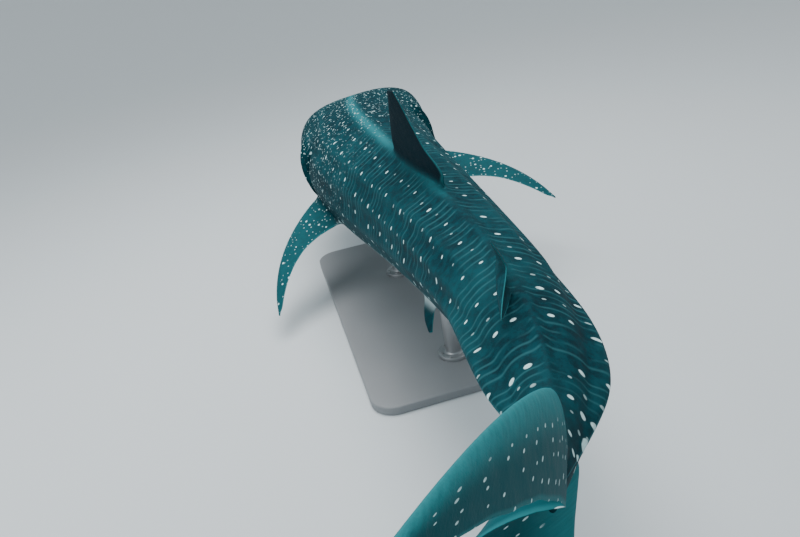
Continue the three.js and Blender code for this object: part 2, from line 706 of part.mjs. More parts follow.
function standBase() {
  const [w, l, c] = [base.wide / 2, base.long / 2, base.corner];
  const plan = new THREE.Shape();
  plan.moveTo(-w + c, -l);
  plan.lineTo(w - c, -l);
  plan.absarc(w - c, -l + c, c, -Math.PI / 2, 0);
  plan.absarc(w - c, l - c, c, 0, Math.PI / 2);
  plan.absarc(-w + c, l - c, c, Math.PI / 2, Math.PI);
  plan.absarc(-w + c, -l + c, c, Math.PI, 1.5 * Math.PI);
  const flat = plan.extractPoints(8).shape;
  if (flat[0].distanceTo(flat[flat.length - 1]) < 1e-3) flat.pop();
  const level = (z, inset) => flat.map((p) => {
    const share = { x: 1 - inset / w, y: 1 - inset / l };
    return new THREE.Vector3(p.x * share.x, p.y * share.y, z);
  });
  return loft([level(0, 0), level(base.thick - base.bevel, 0), level(base.thick, base.bevel)]);
}

function standRod(s) {
  const { x, y, z } = frameAt(s).centre;
  const stem = new THREE.CylinderGeometry(rod.radius, rod.radius, z - base.thick - gap, 28);
  stem.rotateX(Math.PI / 2).translate(x, y, (z + base.thick + gap) / 2);
  const foot = new THREE.CylinderGeometry(rod.radius + 14, rod.foot, rod.footThick, 28);
  foot.rotateX(Math.PI / 2).translate(x, y, base.thick + gap + rod.footThick / 2);
  return geometryOf(solidOf(stem).add(solidOf(foot)).subtract(clearBody));
}

addPart("stand_base", standBase(), standPaint);
addPart("stand_rod_front", standRod(rod.front), standMetal);
addPart("stand_rod_rear", standRod(rod.rear), standMetal);

export default shark;
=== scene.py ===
from math import cos, pi, radians, sin, sqrt

import bmesh
import bpy
import numpy as np
from mathutils import Matrix, Vector
from mathutils.kdtree import KDTree


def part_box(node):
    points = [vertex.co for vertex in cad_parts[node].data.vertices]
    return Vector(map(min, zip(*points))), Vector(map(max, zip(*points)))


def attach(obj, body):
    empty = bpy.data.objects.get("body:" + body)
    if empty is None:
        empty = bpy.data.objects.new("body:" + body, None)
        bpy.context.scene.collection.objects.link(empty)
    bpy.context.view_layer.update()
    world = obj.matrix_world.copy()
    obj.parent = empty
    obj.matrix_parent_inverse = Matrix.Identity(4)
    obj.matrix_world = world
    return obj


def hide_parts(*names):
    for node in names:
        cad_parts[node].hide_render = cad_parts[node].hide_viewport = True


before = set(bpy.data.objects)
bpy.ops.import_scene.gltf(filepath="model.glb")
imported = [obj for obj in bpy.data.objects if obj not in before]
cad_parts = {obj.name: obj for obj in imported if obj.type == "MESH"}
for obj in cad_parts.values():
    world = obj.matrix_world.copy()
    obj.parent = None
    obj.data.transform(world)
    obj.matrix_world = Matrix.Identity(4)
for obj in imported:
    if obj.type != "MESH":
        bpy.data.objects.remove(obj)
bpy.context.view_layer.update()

# Lengths are metres, angles degrees, and shares are shares of the total length.
# s runs from 0 at the snout to 1 at the tip of the tail, along the backbone, and
# a goes round the body from the back's midline towards the left flank.
pose = dict(
    totalLength=6.0,
    dorsalStation=0.45, dorsalPlace=(-0.04, 0.7, 0.83),
    at=[0, 0.15, 0.3, 0.45, 0.55, 0.65, 0.75, 0.85],
    yaw=[-12.5, -6.4, 1.5, 0, -2.7, -5, -15.1, -33.2],
    pitch=[5.3, 2.2, -1, -4.3, -7, -6.4, -4.1, -2.1],
    bank=[6.5, 9, 10, 9.1, 5, 1.7, -1.2, -4.9],
)
bodyShape = dict(
    at=[0, 0.004, 0.012, 0.03, 0.06, 0.1, 0.15, 0.2, 0.25, 0.32, 0.4, 0.48, 0.56, 0.64, 0.7,
        0.75, 0.79, 0.81, 0.828],
    side=[0.03, 0.05, 0.0645, 0.0745, 0.081, 0.084, 0.083, 0.0776, 0.0722, 0.0635, 0.0545,
          0.047, 0.0405, 0.0348, 0.03, 0.0228, 0.0142, 0.009, 0.0035],
    over=[0.008, 0.017, 0.0255, 0.035, 0.0463, 0.0548, 0.061, 0.0644, 0.0665, 0.0655, 0.0594,
          0.0508, 0.0424, 0.0337, 0.0266, 0.021, 0.0176, 0.016, 0.0135],
    under=[0.008, 0.0165, 0.0245, 0.0325, 0.04, 0.0486, 0.0569, 0.0624, 0.0656, 0.0645, 0.0585,
           0.05, 0.0415, 0.0317, 0.0255, 0.021, 0.0176, 0.016, 0.0135],
    ridges=[(0, 0.13, 0.8, 0.0032, 6), (37.5, 0.16, 0.66, 0.0026, 6),
            (60, 0.2, 0.7, 0.0026, 6), (82.5, 0.26, 0.8, 0.003, 6.5)],
    keel=dict(angle=90, start=0.62, peak=0.76, end=0.822, height=0.0075, wide=9),
    gills=dict(first=0.148, step=0.014, count=5, lift=0.0026, deep=0.0022,
               start=50, end=128, edge=0.0006, hollow=0.0035),
    pit=dict(at=0.785, deep=0.0022, long=0.0035, wide=16),
    end=0.828, stations=330, around=168, frontEnd=0.13, frontStations=60,
)


gills = bodyShape["gills"]
gillSlits = [gills["first"] + i * gills["step"] for i in range(gills["count"])]


def smooth(x):
    t = np.clip(x, 0, 1)
    return t * t * (3 - 2 * t)


def naturalSpline(xs, ys):
    xs, ys = np.array(xs, float), np.array(ys, float)
    n, h = len(xs), np.diff(xs)
    left, right = np.eye(n), np.zeros(n)
    for i in range(1, n - 1):
        left[i, i - 1:i + 2] = h[i - 1], 2 * (h[i - 1] + h[i]), h[i]
        right[i] = 6 * ((ys[i + 1] - ys[i]) / h[i] - (ys[i] - ys[i - 1]) / h[i - 1])
    bend = np.linalg.solve(left, right)

    def value(x):
        x = np.asarray(x, float)
        i = np.clip(np.searchsorted(xs, x, side="right") - 1, 0, n - 2)
        p = (xs[i + 1] - x) / h[i]
        q = 1 - p
        return p * ys[i] + q * ys[i + 1] + (
            (p ** 3 - p) * bend[i] + (q ** 3 - q) * bend[i + 1]) * h[i] ** 2 / 6
    return value


def steadyCurve(xs, ys):  # goes through the points and never overshoots them
    xs, ys = np.array(xs, float), np.array(ys, float)
    h = np.diff(xs)
    d = np.diff(ys) / h
    m = np.zeros(len(xs))
    m[0], m[-1] = d[0], d[-1]
    for i in range(1, len(xs) - 1):
        if d[i - 1] * d[i] > 0:
            w1, w2 = 2 * h[i] + h[i - 1], h[i] + 2 * h[i - 1]
            m[i] = (w1 + w2) / (w1 / d[i - 1] + w2 / d[i])

    def value(x):
        x = np.clip(np.asarray(x, float), xs[0], xs[-1])
        i = np.clip(np.searchsorted(xs, x, side="right") - 1, 0, len(xs) - 2)
        t = (x - xs[i]) / h[i]
        return ((2 * t ** 3 - 3 * t ** 2 + 1) * ys[i] + (t ** 3 - 2 * t ** 2 + t) * h[i] * m[i]
                + (3 * t ** 2 - 2 * t ** 3) * ys[i + 1] + (t ** 3 - t ** 2) * h[i] * m[i + 1])
    return value


def unit(v):
    v = np.asarray(v, float)
    return v / np.maximum(np.linalg.norm(v, axis=-1, keepdims=True), 1e-12)


totalLength = pose["totalLength"]
yawAt, pitchAt, bankAt = (naturalSpline(pose["at"], pose[k]) for k in ("yaw", "pitch", "bank"))
sideAt, overAt, underAt = (steadyCurve(bodyShape["at"], bodyShape[k]) for k in ("side", "over", "under"))


def headingAt(s):
    yaw, pitch = np.radians(yawAt(s)), np.radians(pitchAt(s))
    return np.stack([np.sin(yaw) * np.cos(pitch), -np.cos(yaw) * np.cos(pitch), np.sin(pitch)], -1)


spineStep = 0.002
spineS = np.arange(0, 0.9001, spineStep)
spine = np.zeros((len(spineS), 3))
spine[1:] = -np.cumsum(headingAt(spineS[:-1] + spineStep / 2), 0) * spineStep * totalLength


def pathAt(x, xs, points):
    return np.stack([np.interp(x, xs, points[:, k]) for k in range(3)], -1)


def onSpine(s):
    return pathAt(s, spineS, spine)


spine += np.array(pose["dorsalPlace"]) - onSpine(pose["dorsalStation"])


def leaned(heading, bank):
    up = unit(np.array([0, 0, 1.0]) - heading * heading[..., 2:3])
    right = np.cross(heading, up)
    b = np.radians(bank)[..., None]
    return up * np.cos(b) - right * np.sin(b)


def frameAt(s):
    heading = headingAt(s)
    up = leaned(heading, np.asarray(bankAt(s)))
    return onSpine(s), heading, up, np.cross(up, heading)


def bell(x, wide):
    return np.exp(-0.5 * (x / wide) ** 2)


def relief(s, a):  # how far the skin stands off the plain section
    angle = np.abs(np.where(a > 180, a - 360, a))
    out = np.zeros(np.broadcast(s, angle).shape)
    for where, start, end, height, wide in bodyShape["ridges"]:
        out += height * smooth((s - start) / 0.06) * smooth((end - s) / 0.06) * bell(angle - where, wide)
    k = bodyShape["keel"]
    rise = smooth((s - k["start"]) / (k["peak"] - k["start"]))
    fall = smooth((k["end"] - s) / (k["end"] - k["peak"]))
    out += k["height"] * rise * fall * bell(angle - k["angle"], k["wide"])
    reach = smooth((angle - gills["start"]) / 12) * smooth((gills["end"] - angle) / 12)
    for slit in gillSlits:
        lifted = (s - slit + gills["step"]) / (gills["step"] - gills["edge"])
        before = (lifted > 0) & (s < slit - gills["edge"] / 2)
        out += np.where(before, gills["lift"] * np.clip(lifted, 0, 1) ** 1.4 * reach, 0)
        sunk = 1 - (s - slit) / gills["hollow"]
        behind = (s >= slit - gills["edge"] / 2) & (sunk > 0)
        out -= np.where(behind, gills["deep"] * np.clip(sunk, 0, 1) * reach, 0)
    p = bodyShape["pit"]  # the notch in the back just before the tail fin
    return out - p["deep"] * bell(s - p["at"], p["long"]) * bell(angle, p["wide"])


def skinPoint(s, a, grow=0.0):
    s, a = np.broadcast_arrays(np.asarray(s, float), np.asarray(a, float))
    centre, heading, up, left = frameAt(s)
    power = 2 / (2 + 0.9 * smooth((0.16 - s) / 0.14))  # the head is squarer
    c, n = np.cos(np.radians(a)), np.sin(np.radians(a))
    out = relief(s, a) * totalLength + grow
    high = np.where(c > 0, overAt(s), underAt(s)) * totalLength
    x = sideAt(s) * totalLength * np.sign(n) * np.abs(n) ** power + out * n
    z = high * np.sign(c) * np.abs(c) ** power + out * c
    return centre + left * x[..., None] + up * z[..., None]


def outwardAt(s, a):
    along = skinPoint(s + 0.002, a) - skinPoint(s - 0.002, a)
    out = unit(np.cross(along, skinPoint(s, a + 1.5) - skinPoint(s, a - 1.5)))
    return out if np.dot(out, skinPoint(s, a) - onSpine(s)) > 0 else -out


def addPiece(name, data):
    piece = bpy.data.objects.new(name, data)
    bpy.context.scene.collection.objects.link(piece)
    return piece


def meshOf(name, points, faces):
    mesh = bpy.data.meshes.new(name)
    mesh.from_pydata([tuple(p) for p in points], [], faces)
    b = bmesh.new()
    b.from_mesh(mesh)
    bmesh.ops.recalc_face_normals(b, faces=b.faces)
    if b.calc_volume(signed=True) < 0:
        bmesh.ops.reverse_faces(b, faces=b.faces)
    b.to_mesh(mesh)
    b.free()
    return addPiece(name, mesh)


# Surface through rings that run the same way round, closed at both ends or at the first alone
def loft(name, rings, closed=True):
    rings = np.asarray(rings)
    k, n = rings.shape[:2]
    ends = [rings[:1].mean(1), rings[-1:].mean(1)] if closed else [rings[:1].mean(1)]
    faces = []
    for i in range(n):
        j = (i + 1) % n
        faces += [(r * n + i, r * n + j, r * n + n + j, r * n + n + i) for r in range(k - 1)]
        faces += [(k * n, j, i)] + [(k * n + 1, (k - 1) * n + i, (k - 1) * n + j)] * closed
    return meshOf(name, np.concatenate([rings.reshape(-1, 3), *ends]), faces)


# The plain body, with stations closer together at the snout and the gill slits
def bodyStations():
    front, frontCount = bodyShape["frontEnd"], bodyShape["frontStations"]
    found = list(front * np.linspace(0, 1, frontCount) ** 1.8)
    found += list(np.linspace(front, bodyShape["end"], bodyShape["stations"] - frontCount)[1:])
    for slit in gillSlits:
        found = [s for s in found if abs(s - slit) > 2 * gills["edge"]]
        found += [slit + share * gills["edge"] for share in (-1.4, -0.51, -0.49, 1)]
    return np.array(sorted(found))


stations = bodyStations()
angles = np.arange(bodyShape["around"]) * 360 / bodyShape["around"]
skin = loft("shark_skin", skinPoint(stations[:, None], angles[None, :]))
print("body surface", len(skin.data.polygons), "faces")


# Fins are blades: rings of points from a leading to a trailing edge
def bladeRings(spans, edge, face, thick, chordSteps=16, rearHalf=0.003):
    along = np.concatenate([np.arange(0, chordSteps + 1), np.arange(chordSteps - 1, 0, -1)]) / chordSteps
    sign = np.concatenate([np.ones(chordSteps + 1), -np.ones(chordSteps - 1)])
    c = 0.5 - 0.5 * np.cos(np.pi * along)
    rings = []
    for v in spans:
        lead, trail = edge(v)
        full = np.sqrt(c) * (1 - c) * 2.6 * thick(v) / 2
        least = rearHalf * np.sin(np.pi * along) ** 0.5
        off = sign * np.maximum(full, least)
        rings.append(lead + (trail - lead) * c[:, None] + face(v) * off[:, None])
    return np.array(rings), c


def spansTo(count, ease):
    return (1 - (1 - np.arange(count + 1) / count) ** (1 / ease)) * 0.995


finGrids = {}


def finPiece(name, rings, spans, chord):
    finGrids[name] = (rings.reshape(-1, 3), np.repeat(spans, rings.shape[1]), np.tile(chord, len(spans)))
    return loft(name, rings)


def ragged(v, seed, size=0.0035):  # small waves along a fin's rear edge
    return size * (sin(21 * v + seed) + 0.5 * sin(47 * v + 2.3 * seed))


# side is 1 on the back and -1 on the belly; turn swings the whole rear of the fin to the right, in
# degrees, and swing its free rear tip to the left
def uprightFin(name, start, end, height, sweep, rear, side, thickness, lean=0.0, swing=0.0,
               turn=0.0, tip=0.02, hook=0.25, hollow=0.14, spans=40, buried=0.4):
    def depthAt(s):
        return float(overAt(s) if side > 0 else underAt(s)) * totalLength
    centre, _, up, _ = frameAt(start)
    root = centre + up * side * depthAt(start) * (1 - buried)
    _, heading, up, face = frameAt((start + end) / 2)
    a = radians(turn)
    rise, back = up * side, -heading * cos(a) - face * sin(a)
    face = face * cos(a) - heading * sin(a)
    depth = depthAt(start) * buried
    tall, chord = height * totalLength + depth, (end - start) * totalLength

    def edge(v):
        leadBack = sweep * totalLength * (v + hook * v * v) / (1 + hook)
        low = smooth((v - depth / tall) / 0.22)
        loose = smooth((v - depth / tall + 0.16) / 0.16) * (1 - low)
        line = chord + (sweep * totalLength + tip * chord - chord) * v ** 0.8
        trailBack = line - hollow * chord * sin(pi * v ** 0.7) + rear * totalLength * loose
        trailBack = max(trailBack + ragged(v, start * 90, 0.0022), leadBack + 0.004)
        place = root + rise * v * tall + face * lean * tall * v * v
        return place + back * leadBack, place + back * trailBack + face * swing * loose
    levels = spansTo(spans, 0.8)
    rings, c = bladeRings(levels, edge, lambda v: face, lambda v: thickness * (1 - 0.8 * v))
    return finPiece(name, rings, levels, c)


def pairedFin(name, at, angle, side, span, chord, droop, curl, sweep, sweepMore, incidence, thickness,
              spans=44, tipChord=0.06, rake=0.12, steps=40):
    centre, heading, up, left = frameAt(at)
    root = skinPoint(at, angle if side > 0 else 360 - angle)
    inwards = (centre - root) * 0.35
    out, back = left * side, -heading
    whole = span * totalLength + np.linalg.norm(inwards)
    buried = np.linalg.norm(inwards) / whole

    def lowAt(v):
        return radians(droop + curl * v ** 1.4)
    line = [root + inwards]
    for i in range(steps):
        v = min(max(((i + 0.5) / steps - buried) / (1 - buried), 0), 1)
        swept = radians(sweep + sweepMore * v)
        way = out * cos(lowAt(v)) * cos(swept) - up * sin(lowAt(v)) * cos(swept)
        line.append(line[-1] + (way + back * sin(swept)) * whole / steps)
    line = np.array(line)

    def faceAt(v):
        return unit(out * sin(lowAt(v)) + up * cos(lowAt(v)) + back * sin(radians(incidence)))

    def edge(v):
        share = tipChord + (1 - tipChord) * (1 - v) ** 0.75 * (1 - 0.35 * sin(pi * v))
        wide = chord * totalLength * share * (0.35 + 0.65 * smooth((1 - v) / 0.1))
        lay = unit(back - faceAt(v) * np.dot(back, faceAt(v)))
        place = pathAt(v * steps, np.arange(steps + 1), line)
        lead = place + lay * (-wide * 0.4 + rake * totalLength * 0.1 * v * v)
        return lead, lead + lay * (wide + ragged(v, side, 0.003) * (1 - v))
    levels = spansTo(spans, 0.9)
    rings, c = bladeRings(levels, edge, faceAt, lambda v: thickness * (1 - 0.85 * v))
    return finPiece(name, rings, levels, c)


caudal = dict(
    at=0.793, yaw=-21, bend=65, pitch=-3.9, bank=-1, twist=102,
    start=(-0.03, 0), fork=(0.06, 0.011), blunt=0.004, thickness=0.06, spans=52,
    upper=dict(long=0.239, angle=35, bow=0.022, hollow=0.01, forward=0, flare=0, sway=0),
    lower=dict(long=0.128, angle=-60, bow=0.06, hollow=0.03, forward=0.015, flare=0.05, sway=0.016),
)


def caudalFin(name):
    stepB, fromB = 0.002, -0.04
    b = np.arange(fromB, 0.3, stepB)
    yaw = np.radians(caudal["yaw"] + caudal["bend"] * np.maximum(b, 0))
    pitch = radians(caudal["pitch"])
    heading = np.stack([np.sin(yaw) * cos(pitch), -np.cos(yaw) * cos(pitch),
                        np.full_like(yaw, sin(pitch))], -1)
    up = leaned(heading, caudal["bank"] + caudal["twist"] * np.maximum(b, 0))
    place = np.zeros((len(b), 3))
    place[1:] = -np.cumsum(heading[:-1], 0) * stepB * totalLength
    place += onSpine(caudal["at"]) - place[int(round(-fromB / stepB))]

    def onPlane(along, high):
        return pathAt(along, b, place) + pathAt(along, b, up) * high * totalLength

    start, fork = np.array(caudal["start"]), np.array(caudal["fork"])
    rootFace = unit(np.cross(onPlane(*fork) - onPlane(*start), up[0]))
    left, blunt = frameAt(caudal["at"])[3], (caudal["blunt"], 0)

    def lobeRings(lobe, side):
        angle = radians(lobe["angle"])
        tip = np.array([cos(angle), sin(angle)]) * lobe["long"]
        off = np.array([-sin(angle), cos(angle)]) * side * lobe["long"]

        def edge(v):
            arch = 4 * v * (1 - v)
            swayed = lobe["sway"] * v * v
            pushed = lobe["forward"] * smooth(v / 0.25) * (1 - v)
            flared = lobe["flare"] * sin(pi * v ** 0.7)
            wave = ragged(v, side, 0.0004) * sin(pi * min(v, 1))
            lead = onPlane(*(start + (tip - start) * v + off * lobe["bow"] * arch))
            trail = onPlane(*(fork + (tip + blunt - fork) * v + off * lobe["hollow"] * arch + (wave, 0)))
            forward, rearward = (left * shift * totalLength for shift in (swayed - pushed, swayed + flared))
            return lead + forward, trail + rearward

        def face(v):
            lead, trail = edge(v)
            along = sum(edge(min(v + 0.02, 1))) - sum(edge(max(v - 0.02, 0)))
            found = unit(np.cross(trail - lead, along))
            found = found if np.dot(found, rootFace) > 0 else -found
            return unit(rootFace + (found - rootFace) * smooth(v / 0.2))
        levels = spansTo(caudal["spans"], 0.9)
        rings, c = bladeRings(levels, edge, face, lambda v: caudal["thickness"] * (1 - 0.84 * v ** 0.8),
                              chordSteps=20)
        return rings, levels, c
    upper, upperSpans, chord = lobeRings(caudal["upper"], 1)
    lower, lowerSpans, chord = lobeRings(caudal["lower"], -1)
    rings = np.concatenate([lower[::-1][:-1], upper])
    return finPiece(name, rings, np.concatenate([lowerSpans[::-1][:-1], upperSpans]), chord)


pectoral = dict(at=0.22, angle=114, span=0.15, chord=0.1, incidence=14, thickness=0.066)
pelvic = dict(at=0.52, angle=132, span=0.034, chord=0.052, droop=34, curl=10, sweep=46, sweepMore=20,
              incidence=4, thickness=0.026, spans=24, tipChord=0.25)
fins = [
    uprightFin("first_dorsal", 0.378, 0.54, 0.061, 0.083, 0.014, 1, 0.082, lean=0.045, turn=4, tip=0.1,
               hook=0.36, hollow=0.04),
    uprightFin("second_dorsal", 0.65, 0.698, 0.024, 0.048, 0.05, 1, 0.034, lean=0.26, swing=0.103,
               turn=-1, tip=0.065, hollow=0.05),
    uprightFin("anal", 0.655, 0.692, 0.024, 0.042, 0.018, -1, 0.03),
    pairedFin("pectoral_left", side=1, droop=10, curl=56, sweep=22, sweepMore=36, **pectoral),
    pairedFin("pectoral_right", side=-1, droop=10, curl=42, sweep=24, sweepMore=38, **pectoral),
    pairedFin("pelvic_left", side=1, **pelvic),
    pairedFin("pelvic_right", side=-1, **pelvic),
    caudalFin("caudal"),
]
print("fins made")


# The face: lips, nostrils with barbels, eye rims and sockets, spiracles
mouth = dict(angle=101, corner=0.037, drop=9, lip=0.019, slit=0.006, deep=0.03, steps=26)
eye = dict(at=0.055, angle=92, radius=0.032, proud=0.012, lid=0.008)
nostril = dict(at=0.0055, angle=80, radius=0.013, aside=0.016, high=0.008)
barbel = dict(long=0.04, ahead=0.7, down=0.75, buried=0.025, flat=0.7,
              at=[0, 0.35, 0.7, 0.92, 1], wide=[0.013, 0.012, 0.009, 0.006, 0.0025])
spiracle = dict(at=0.079, angle=88, radius=0.015)


def mouthLine(lift):
    rows = []
    for i in range(mouth["steps"], -1, -1):
        s = mouth["corner"] * (i / mouth["steps"]) ** 1.7
        rows.append((s, mouth["angle"] + mouth["drop"] * (s / mouth["corner"]) ** 2))
    _, ahead, up, _ = frameAt(0.0)

    def flank(s, a):
        return skinPoint(s, a) + frameAt(s)[2] * lift, outwardAt(max(s, 0.003), a), frameAt(s)[2]
    left = [flank(s, a) for s, a in rows]
    right = [flank(s, 360 - a) for s, a in rows[::-1]]
    middle = [(left[-1][0] + (right[0][0] - left[-1][0]) * t, ahead, up) for t in np.linspace(0, 1, 20)[1:-1]]
    return left + middle + right


def tube(name, line, across, tall, around=14):
    rings = []
    for i, (at, out, up) in enumerate(line):
        t = min(max(i / (len(line) - 1), 0.002), 0.998)
        ease = sin(pi * t) ** 0.35
        turn = np.arange(around)[:, None] * 2 * pi / around
        rings.append(at + out * np.cos(turn) * across * ease + up * np.sin(turn) * tall * ease)
    return loft(name, rings)


def ball(name, radius, centre, wide=32, high=20):
    b = bmesh.new()
    bmesh.ops.create_uvsphere(b, u_segments=wide, v_segments=high, radius=radius,
                              matrix=Matrix.Translation(Vector(centre)))
    mesh = bpy.data.meshes.new(name)
    b.to_mesh(mesh)
    b.free()
    return addPiece(name, mesh)


def ringAround(name, centre, axis, wide, thin, around=40, section=14):
    side = unit(np.cross(axis, [0, 0, 1.0]))
    other = np.cross(axis, side)
    points, faces = [], []
    for i in range(around):
        t = i * 2 * pi / around
        out = side * cos(t) + other * sin(t)
        for k in range(section):
            q = k * 2 * pi / section
            points.append(centre + out * (wide + thin * cos(q)) + axis * thin * sin(q))
            j, m = (i + 1) % around, (k + 1) % section
            faces.append((i * section + k, j * section + k, j * section + m, i * section + m))
    return meshOf(name, points, faces)


joins, cuts, eyePlaces = [], [], {}
lipOff = mouth["slit"] + mouth["lip"] * 0.62
for name, lift in (("lip_upper", lipOff), ("lip_lower", -lipOff)):
    joins.append(tube(name, mouthLine(lift), mouth["lip"], mouth["lip"]))
for side, word in ((1, "left"), (-1, "right")):
    def turned(a, side=side):
        return a if side > 0 else 360 - a
    _, heading, up, left = frameAt(nostril["at"])
    root = skinPoint(nostril["at"], turned(nostril["angle"]))
    tip = root + heading * barbel["long"] * barbel["ahead"] - up * barbel["long"] * barbel["down"]
    begin = root - heading * barbel["buried"]
    turn = np.arange(12)[:, None] * pi / 6
    rings = []
    for t in np.linspace(0, 1, 12):
        wide = np.interp(t, barbel["at"], barbel["wide"])
        rings.append(begin + (tip - begin) * t + left * wide * np.cos(turn)
                     + up * wide * barbel["flat"] * np.sin(turn))
    joins.append(loft("barbel_" + word, rings))
    out = outwardAt(eye["at"], turned(eye["angle"]))
    surface = skinPoint(eye["at"], turned(eye["angle"]))
    centre = surface + out * (eye["proud"] - eye["radius"])
    eyePlaces[word] = (centre, out)
    rimWide = sqrt(eye["radius"] ** 2 - (eye["radius"] - eye["proud"]) ** 2) + 0.003
    joins.append(ringAround("eye_rim_" + word, surface, out, rimWide, eye["lid"]))
    cuts.append(ball("socket_" + word, eye["radius"] + 0.0005, centre))
    cuts.append(ball("nostril_" + word, nostril["radius"],
                     root + left * side * nostril["aside"] + up * nostril["high"]))
    behindEye = skinPoint(spiracle["at"], turned(spiracle["angle"]))
    cuts.append(ball("spiracle_" + word, spiracle["radius"], behindEye))
cuts.append(tube("mouth_slit", mouthLine(0.0), mouth["deep"], mouth["slit"]))


# Everything becomes one skin. Each source keeps a material index, so that the
# lines where sources meet can be found and rounded.
def fuse(body, tools, operation, index):
    for tool in tools:
        body.data.materials.append(None)
        tool.data.materials.clear()
        while len(tool.data.materials) < len(body.data.materials):
            tool.data.materials.append(None)
        tool.data.polygons.foreach_set("material_index", [index] * len(tool.data.polygons))
        fusing = body.modifiers.new("fuse", "BOOLEAN")
        fusing.operation, fusing.object, fusing.solver = operation, tool, "EXACT"
        fusing.material_mode = "INDEX"
        dg = bpy.context.evaluated_depsgraph_get()
        made = bpy.data.meshes.new_from_object(body.evaluated_get(dg))
        body.modifiers.remove(fusing)
        body.data = made
        bpy.data.objects.remove(tool)
        print("fused", index, len(made.polygons))
        index += 1
    return index


finNames = [f.name for f in fins]
count = fuse(skin, joins, "UNION", 1)
finFirst = count
count = fuse(skin, fins, "UNION", count)
count = fuse(skin, cuts, "DIFFERENCE", count)

b = bmesh.new()
b.from_mesh(skin.data)
bmesh.ops.remove_doubles(b, verts=b.verts, dist=0.0004)
bmesh.ops.dissolve_degenerate(b, dist=0.0004, edges=b.edges)
bmesh.ops.triangulate(b, faces=[f for f in b.faces if len(f.verts) > 4])
b.verts.index_update()
b.faces.ensure_lookup_table()
sourceOf = np.zeros(len(b.verts), int)
for f in b.faces:
    for v in f.verts:
        sourceOf[v.index] = max(sourceOf[v.index], f.material_index)
seams = {}
for e in b.edges:
    kinds = {f.material_index for f in e.link_faces}
    if len(kinds) > 1:
        for v in e.verts:
            seams[v.index] = max(kinds)
places = np.array([v.co for v in b.verts])
edges = np.array([[v.index for v in e.verts] for e in b.edges])
for f in b.faces:
    f.smooth = True
    f.material_index = 0
b.to_mesh(skin.data)
b.free()
skin.data.materials.clear()
print("one skin", len(skin.data.vertices), "points,", len(seams), "on the joins")

fillet = dict(fin=0.07, face=0.012, rounds=26)
tree = KDTree(len(seams))
kindAt = []
for i, (v, kind) in enumerate(seams.items()):
    tree.insert(Vector(places[v]), i)
    kindAt.append(kind)
tree.balance()
weight = np.zeros(len(places))
finGap = np.zeros(len(places))
for v, place in enumerate(places):
    _, i, far = tree.find(Vector(place))
    isFin = finFirst <= kindAt[i] < finFirst + len(finNames)
    reach = fillet["fin"] if isFin else fillet["face"]
    weight[v] = smooth(1 - far / reach)
    finGap[v] = far
degree = np.bincount(edges.ravel(), minlength=len(places))[:, None]
for _ in range(fillet["rounds"]):
    total = np.zeros_like(places)
    np.add.at(total, edges[:, 0], places[edges[:, 1]])
    np.add.at(total, edges[:, 1], places[edges[:, 0]])
    places += (total / degree - places) * 0.5 * weight[:, None]
skin.data.vertices.foreach_set("co", places.ravel())
skin.data.update()
print("joins rounded")


# Body coordinates for the markings, kept as attributes of the skin
def bodyCoordinates(points):
    s = np.zeros(len(points))
    for i in range(0, len(points), 4000):
        far = ((points[i:i + 4000, None, :] - spine[None, ::4, :]) ** 2).sum(-1)
        s[i:i + 4000] = spineS[::4][far.argmin(1)]
    for _ in range(3):
        centre, heading, _, _ = frameAt(s)
        s = np.clip(s - ((points - centre) * heading).sum(-1) / totalLength, 0, 0.9)
    centre, heading, up, left = frameAt(s)
    x, z = ((points - centre) * left).sum(-1), ((points - centre) * up).sum(-1)
    return s, np.degrees(np.arctan2(x, z)), np.hypot(x, z)


rows = dict(  # stations of the bright rows of spots, and degrees between the spots of a row
    at=[0.2, 0.235, 0.27, 0.308, 0.347, 0.387, 0.427, 0.465, 0.503, 0.541, 0.585, 0.621, 0.659,
        0.694, 0.726, 0.764, 0.79, 0.812],
    middleGap=9, spreadAt=[0.2, 0.35, 0.5, 0.62, 0.7, 0.77], spread=[15, 17, 19, 23, 27, 31],
)
s, angle, far = bodyCoordinates(places)
rowIndex = np.interp(s, rows["at"], np.arange(len(rows["at"])))
rowIndex = np.where(s < rows["at"][0], (s - rows["at"][0]) / 0.035, rowIndex)
rowIndex = np.where(s > rows["at"][-1], len(rows["at"]) - 1 + (s - rows["at"][-1]) / 0.022, rowIndex)
spread = np.interp(s, rows["spreadAt"], rows["spread"])
column = np.sign(angle) * np.maximum(np.abs(angle) - rows["middleGap"], 0) / spread
rowSize = np.gradient(np.interp(np.linspace(0, 0.9, 901), rows["at"], np.arange(len(rows["at"]))), 0.001)
rowSize = totalLength / np.clip(np.interp(s, np.linspace(0, 0.9, 901), rowSize), 20, 50)
columnSize = np.maximum(far, 0.02) * np.radians(spread)

finMask, finSpan, finChord = np.zeros(len(places)), np.zeros(len(places)), np.zeros(len(places))
isPectoral, isTail, dorsalShade = (np.zeros(len(places)) for _ in range(3))
for i, name in enumerate(finNames):
    grid, spans, chords = finGrids[name]
    near = KDTree(len(grid))
    for k, p in enumerate(grid):
        near.insert(Vector(p), k)
    near.balance()
    own = np.nonzero(sourceOf == finFirst + i)[0]
    for v in own:
        _, keys, gaps = zip(*near.find_n(Vector(places[v]), 3))
        pull = 1 / (np.array(gaps) + 1e-5)
        finSpan[v], finChord[v] = ((kept[list(keys)] * pull).sum() / pull.sum() for kept in (spans, chords))
    finMask[own] = smooth(finGap[own] / 0.05)
    isPectoral[own] = name.startswith("pectoral")
    isTail[own] = name == "caudal"
    # painted shade: the first dorsal fin is marked to be coloured dark all over
    dorsalShade[own] = 0.9 * (name == "first_dorsal")
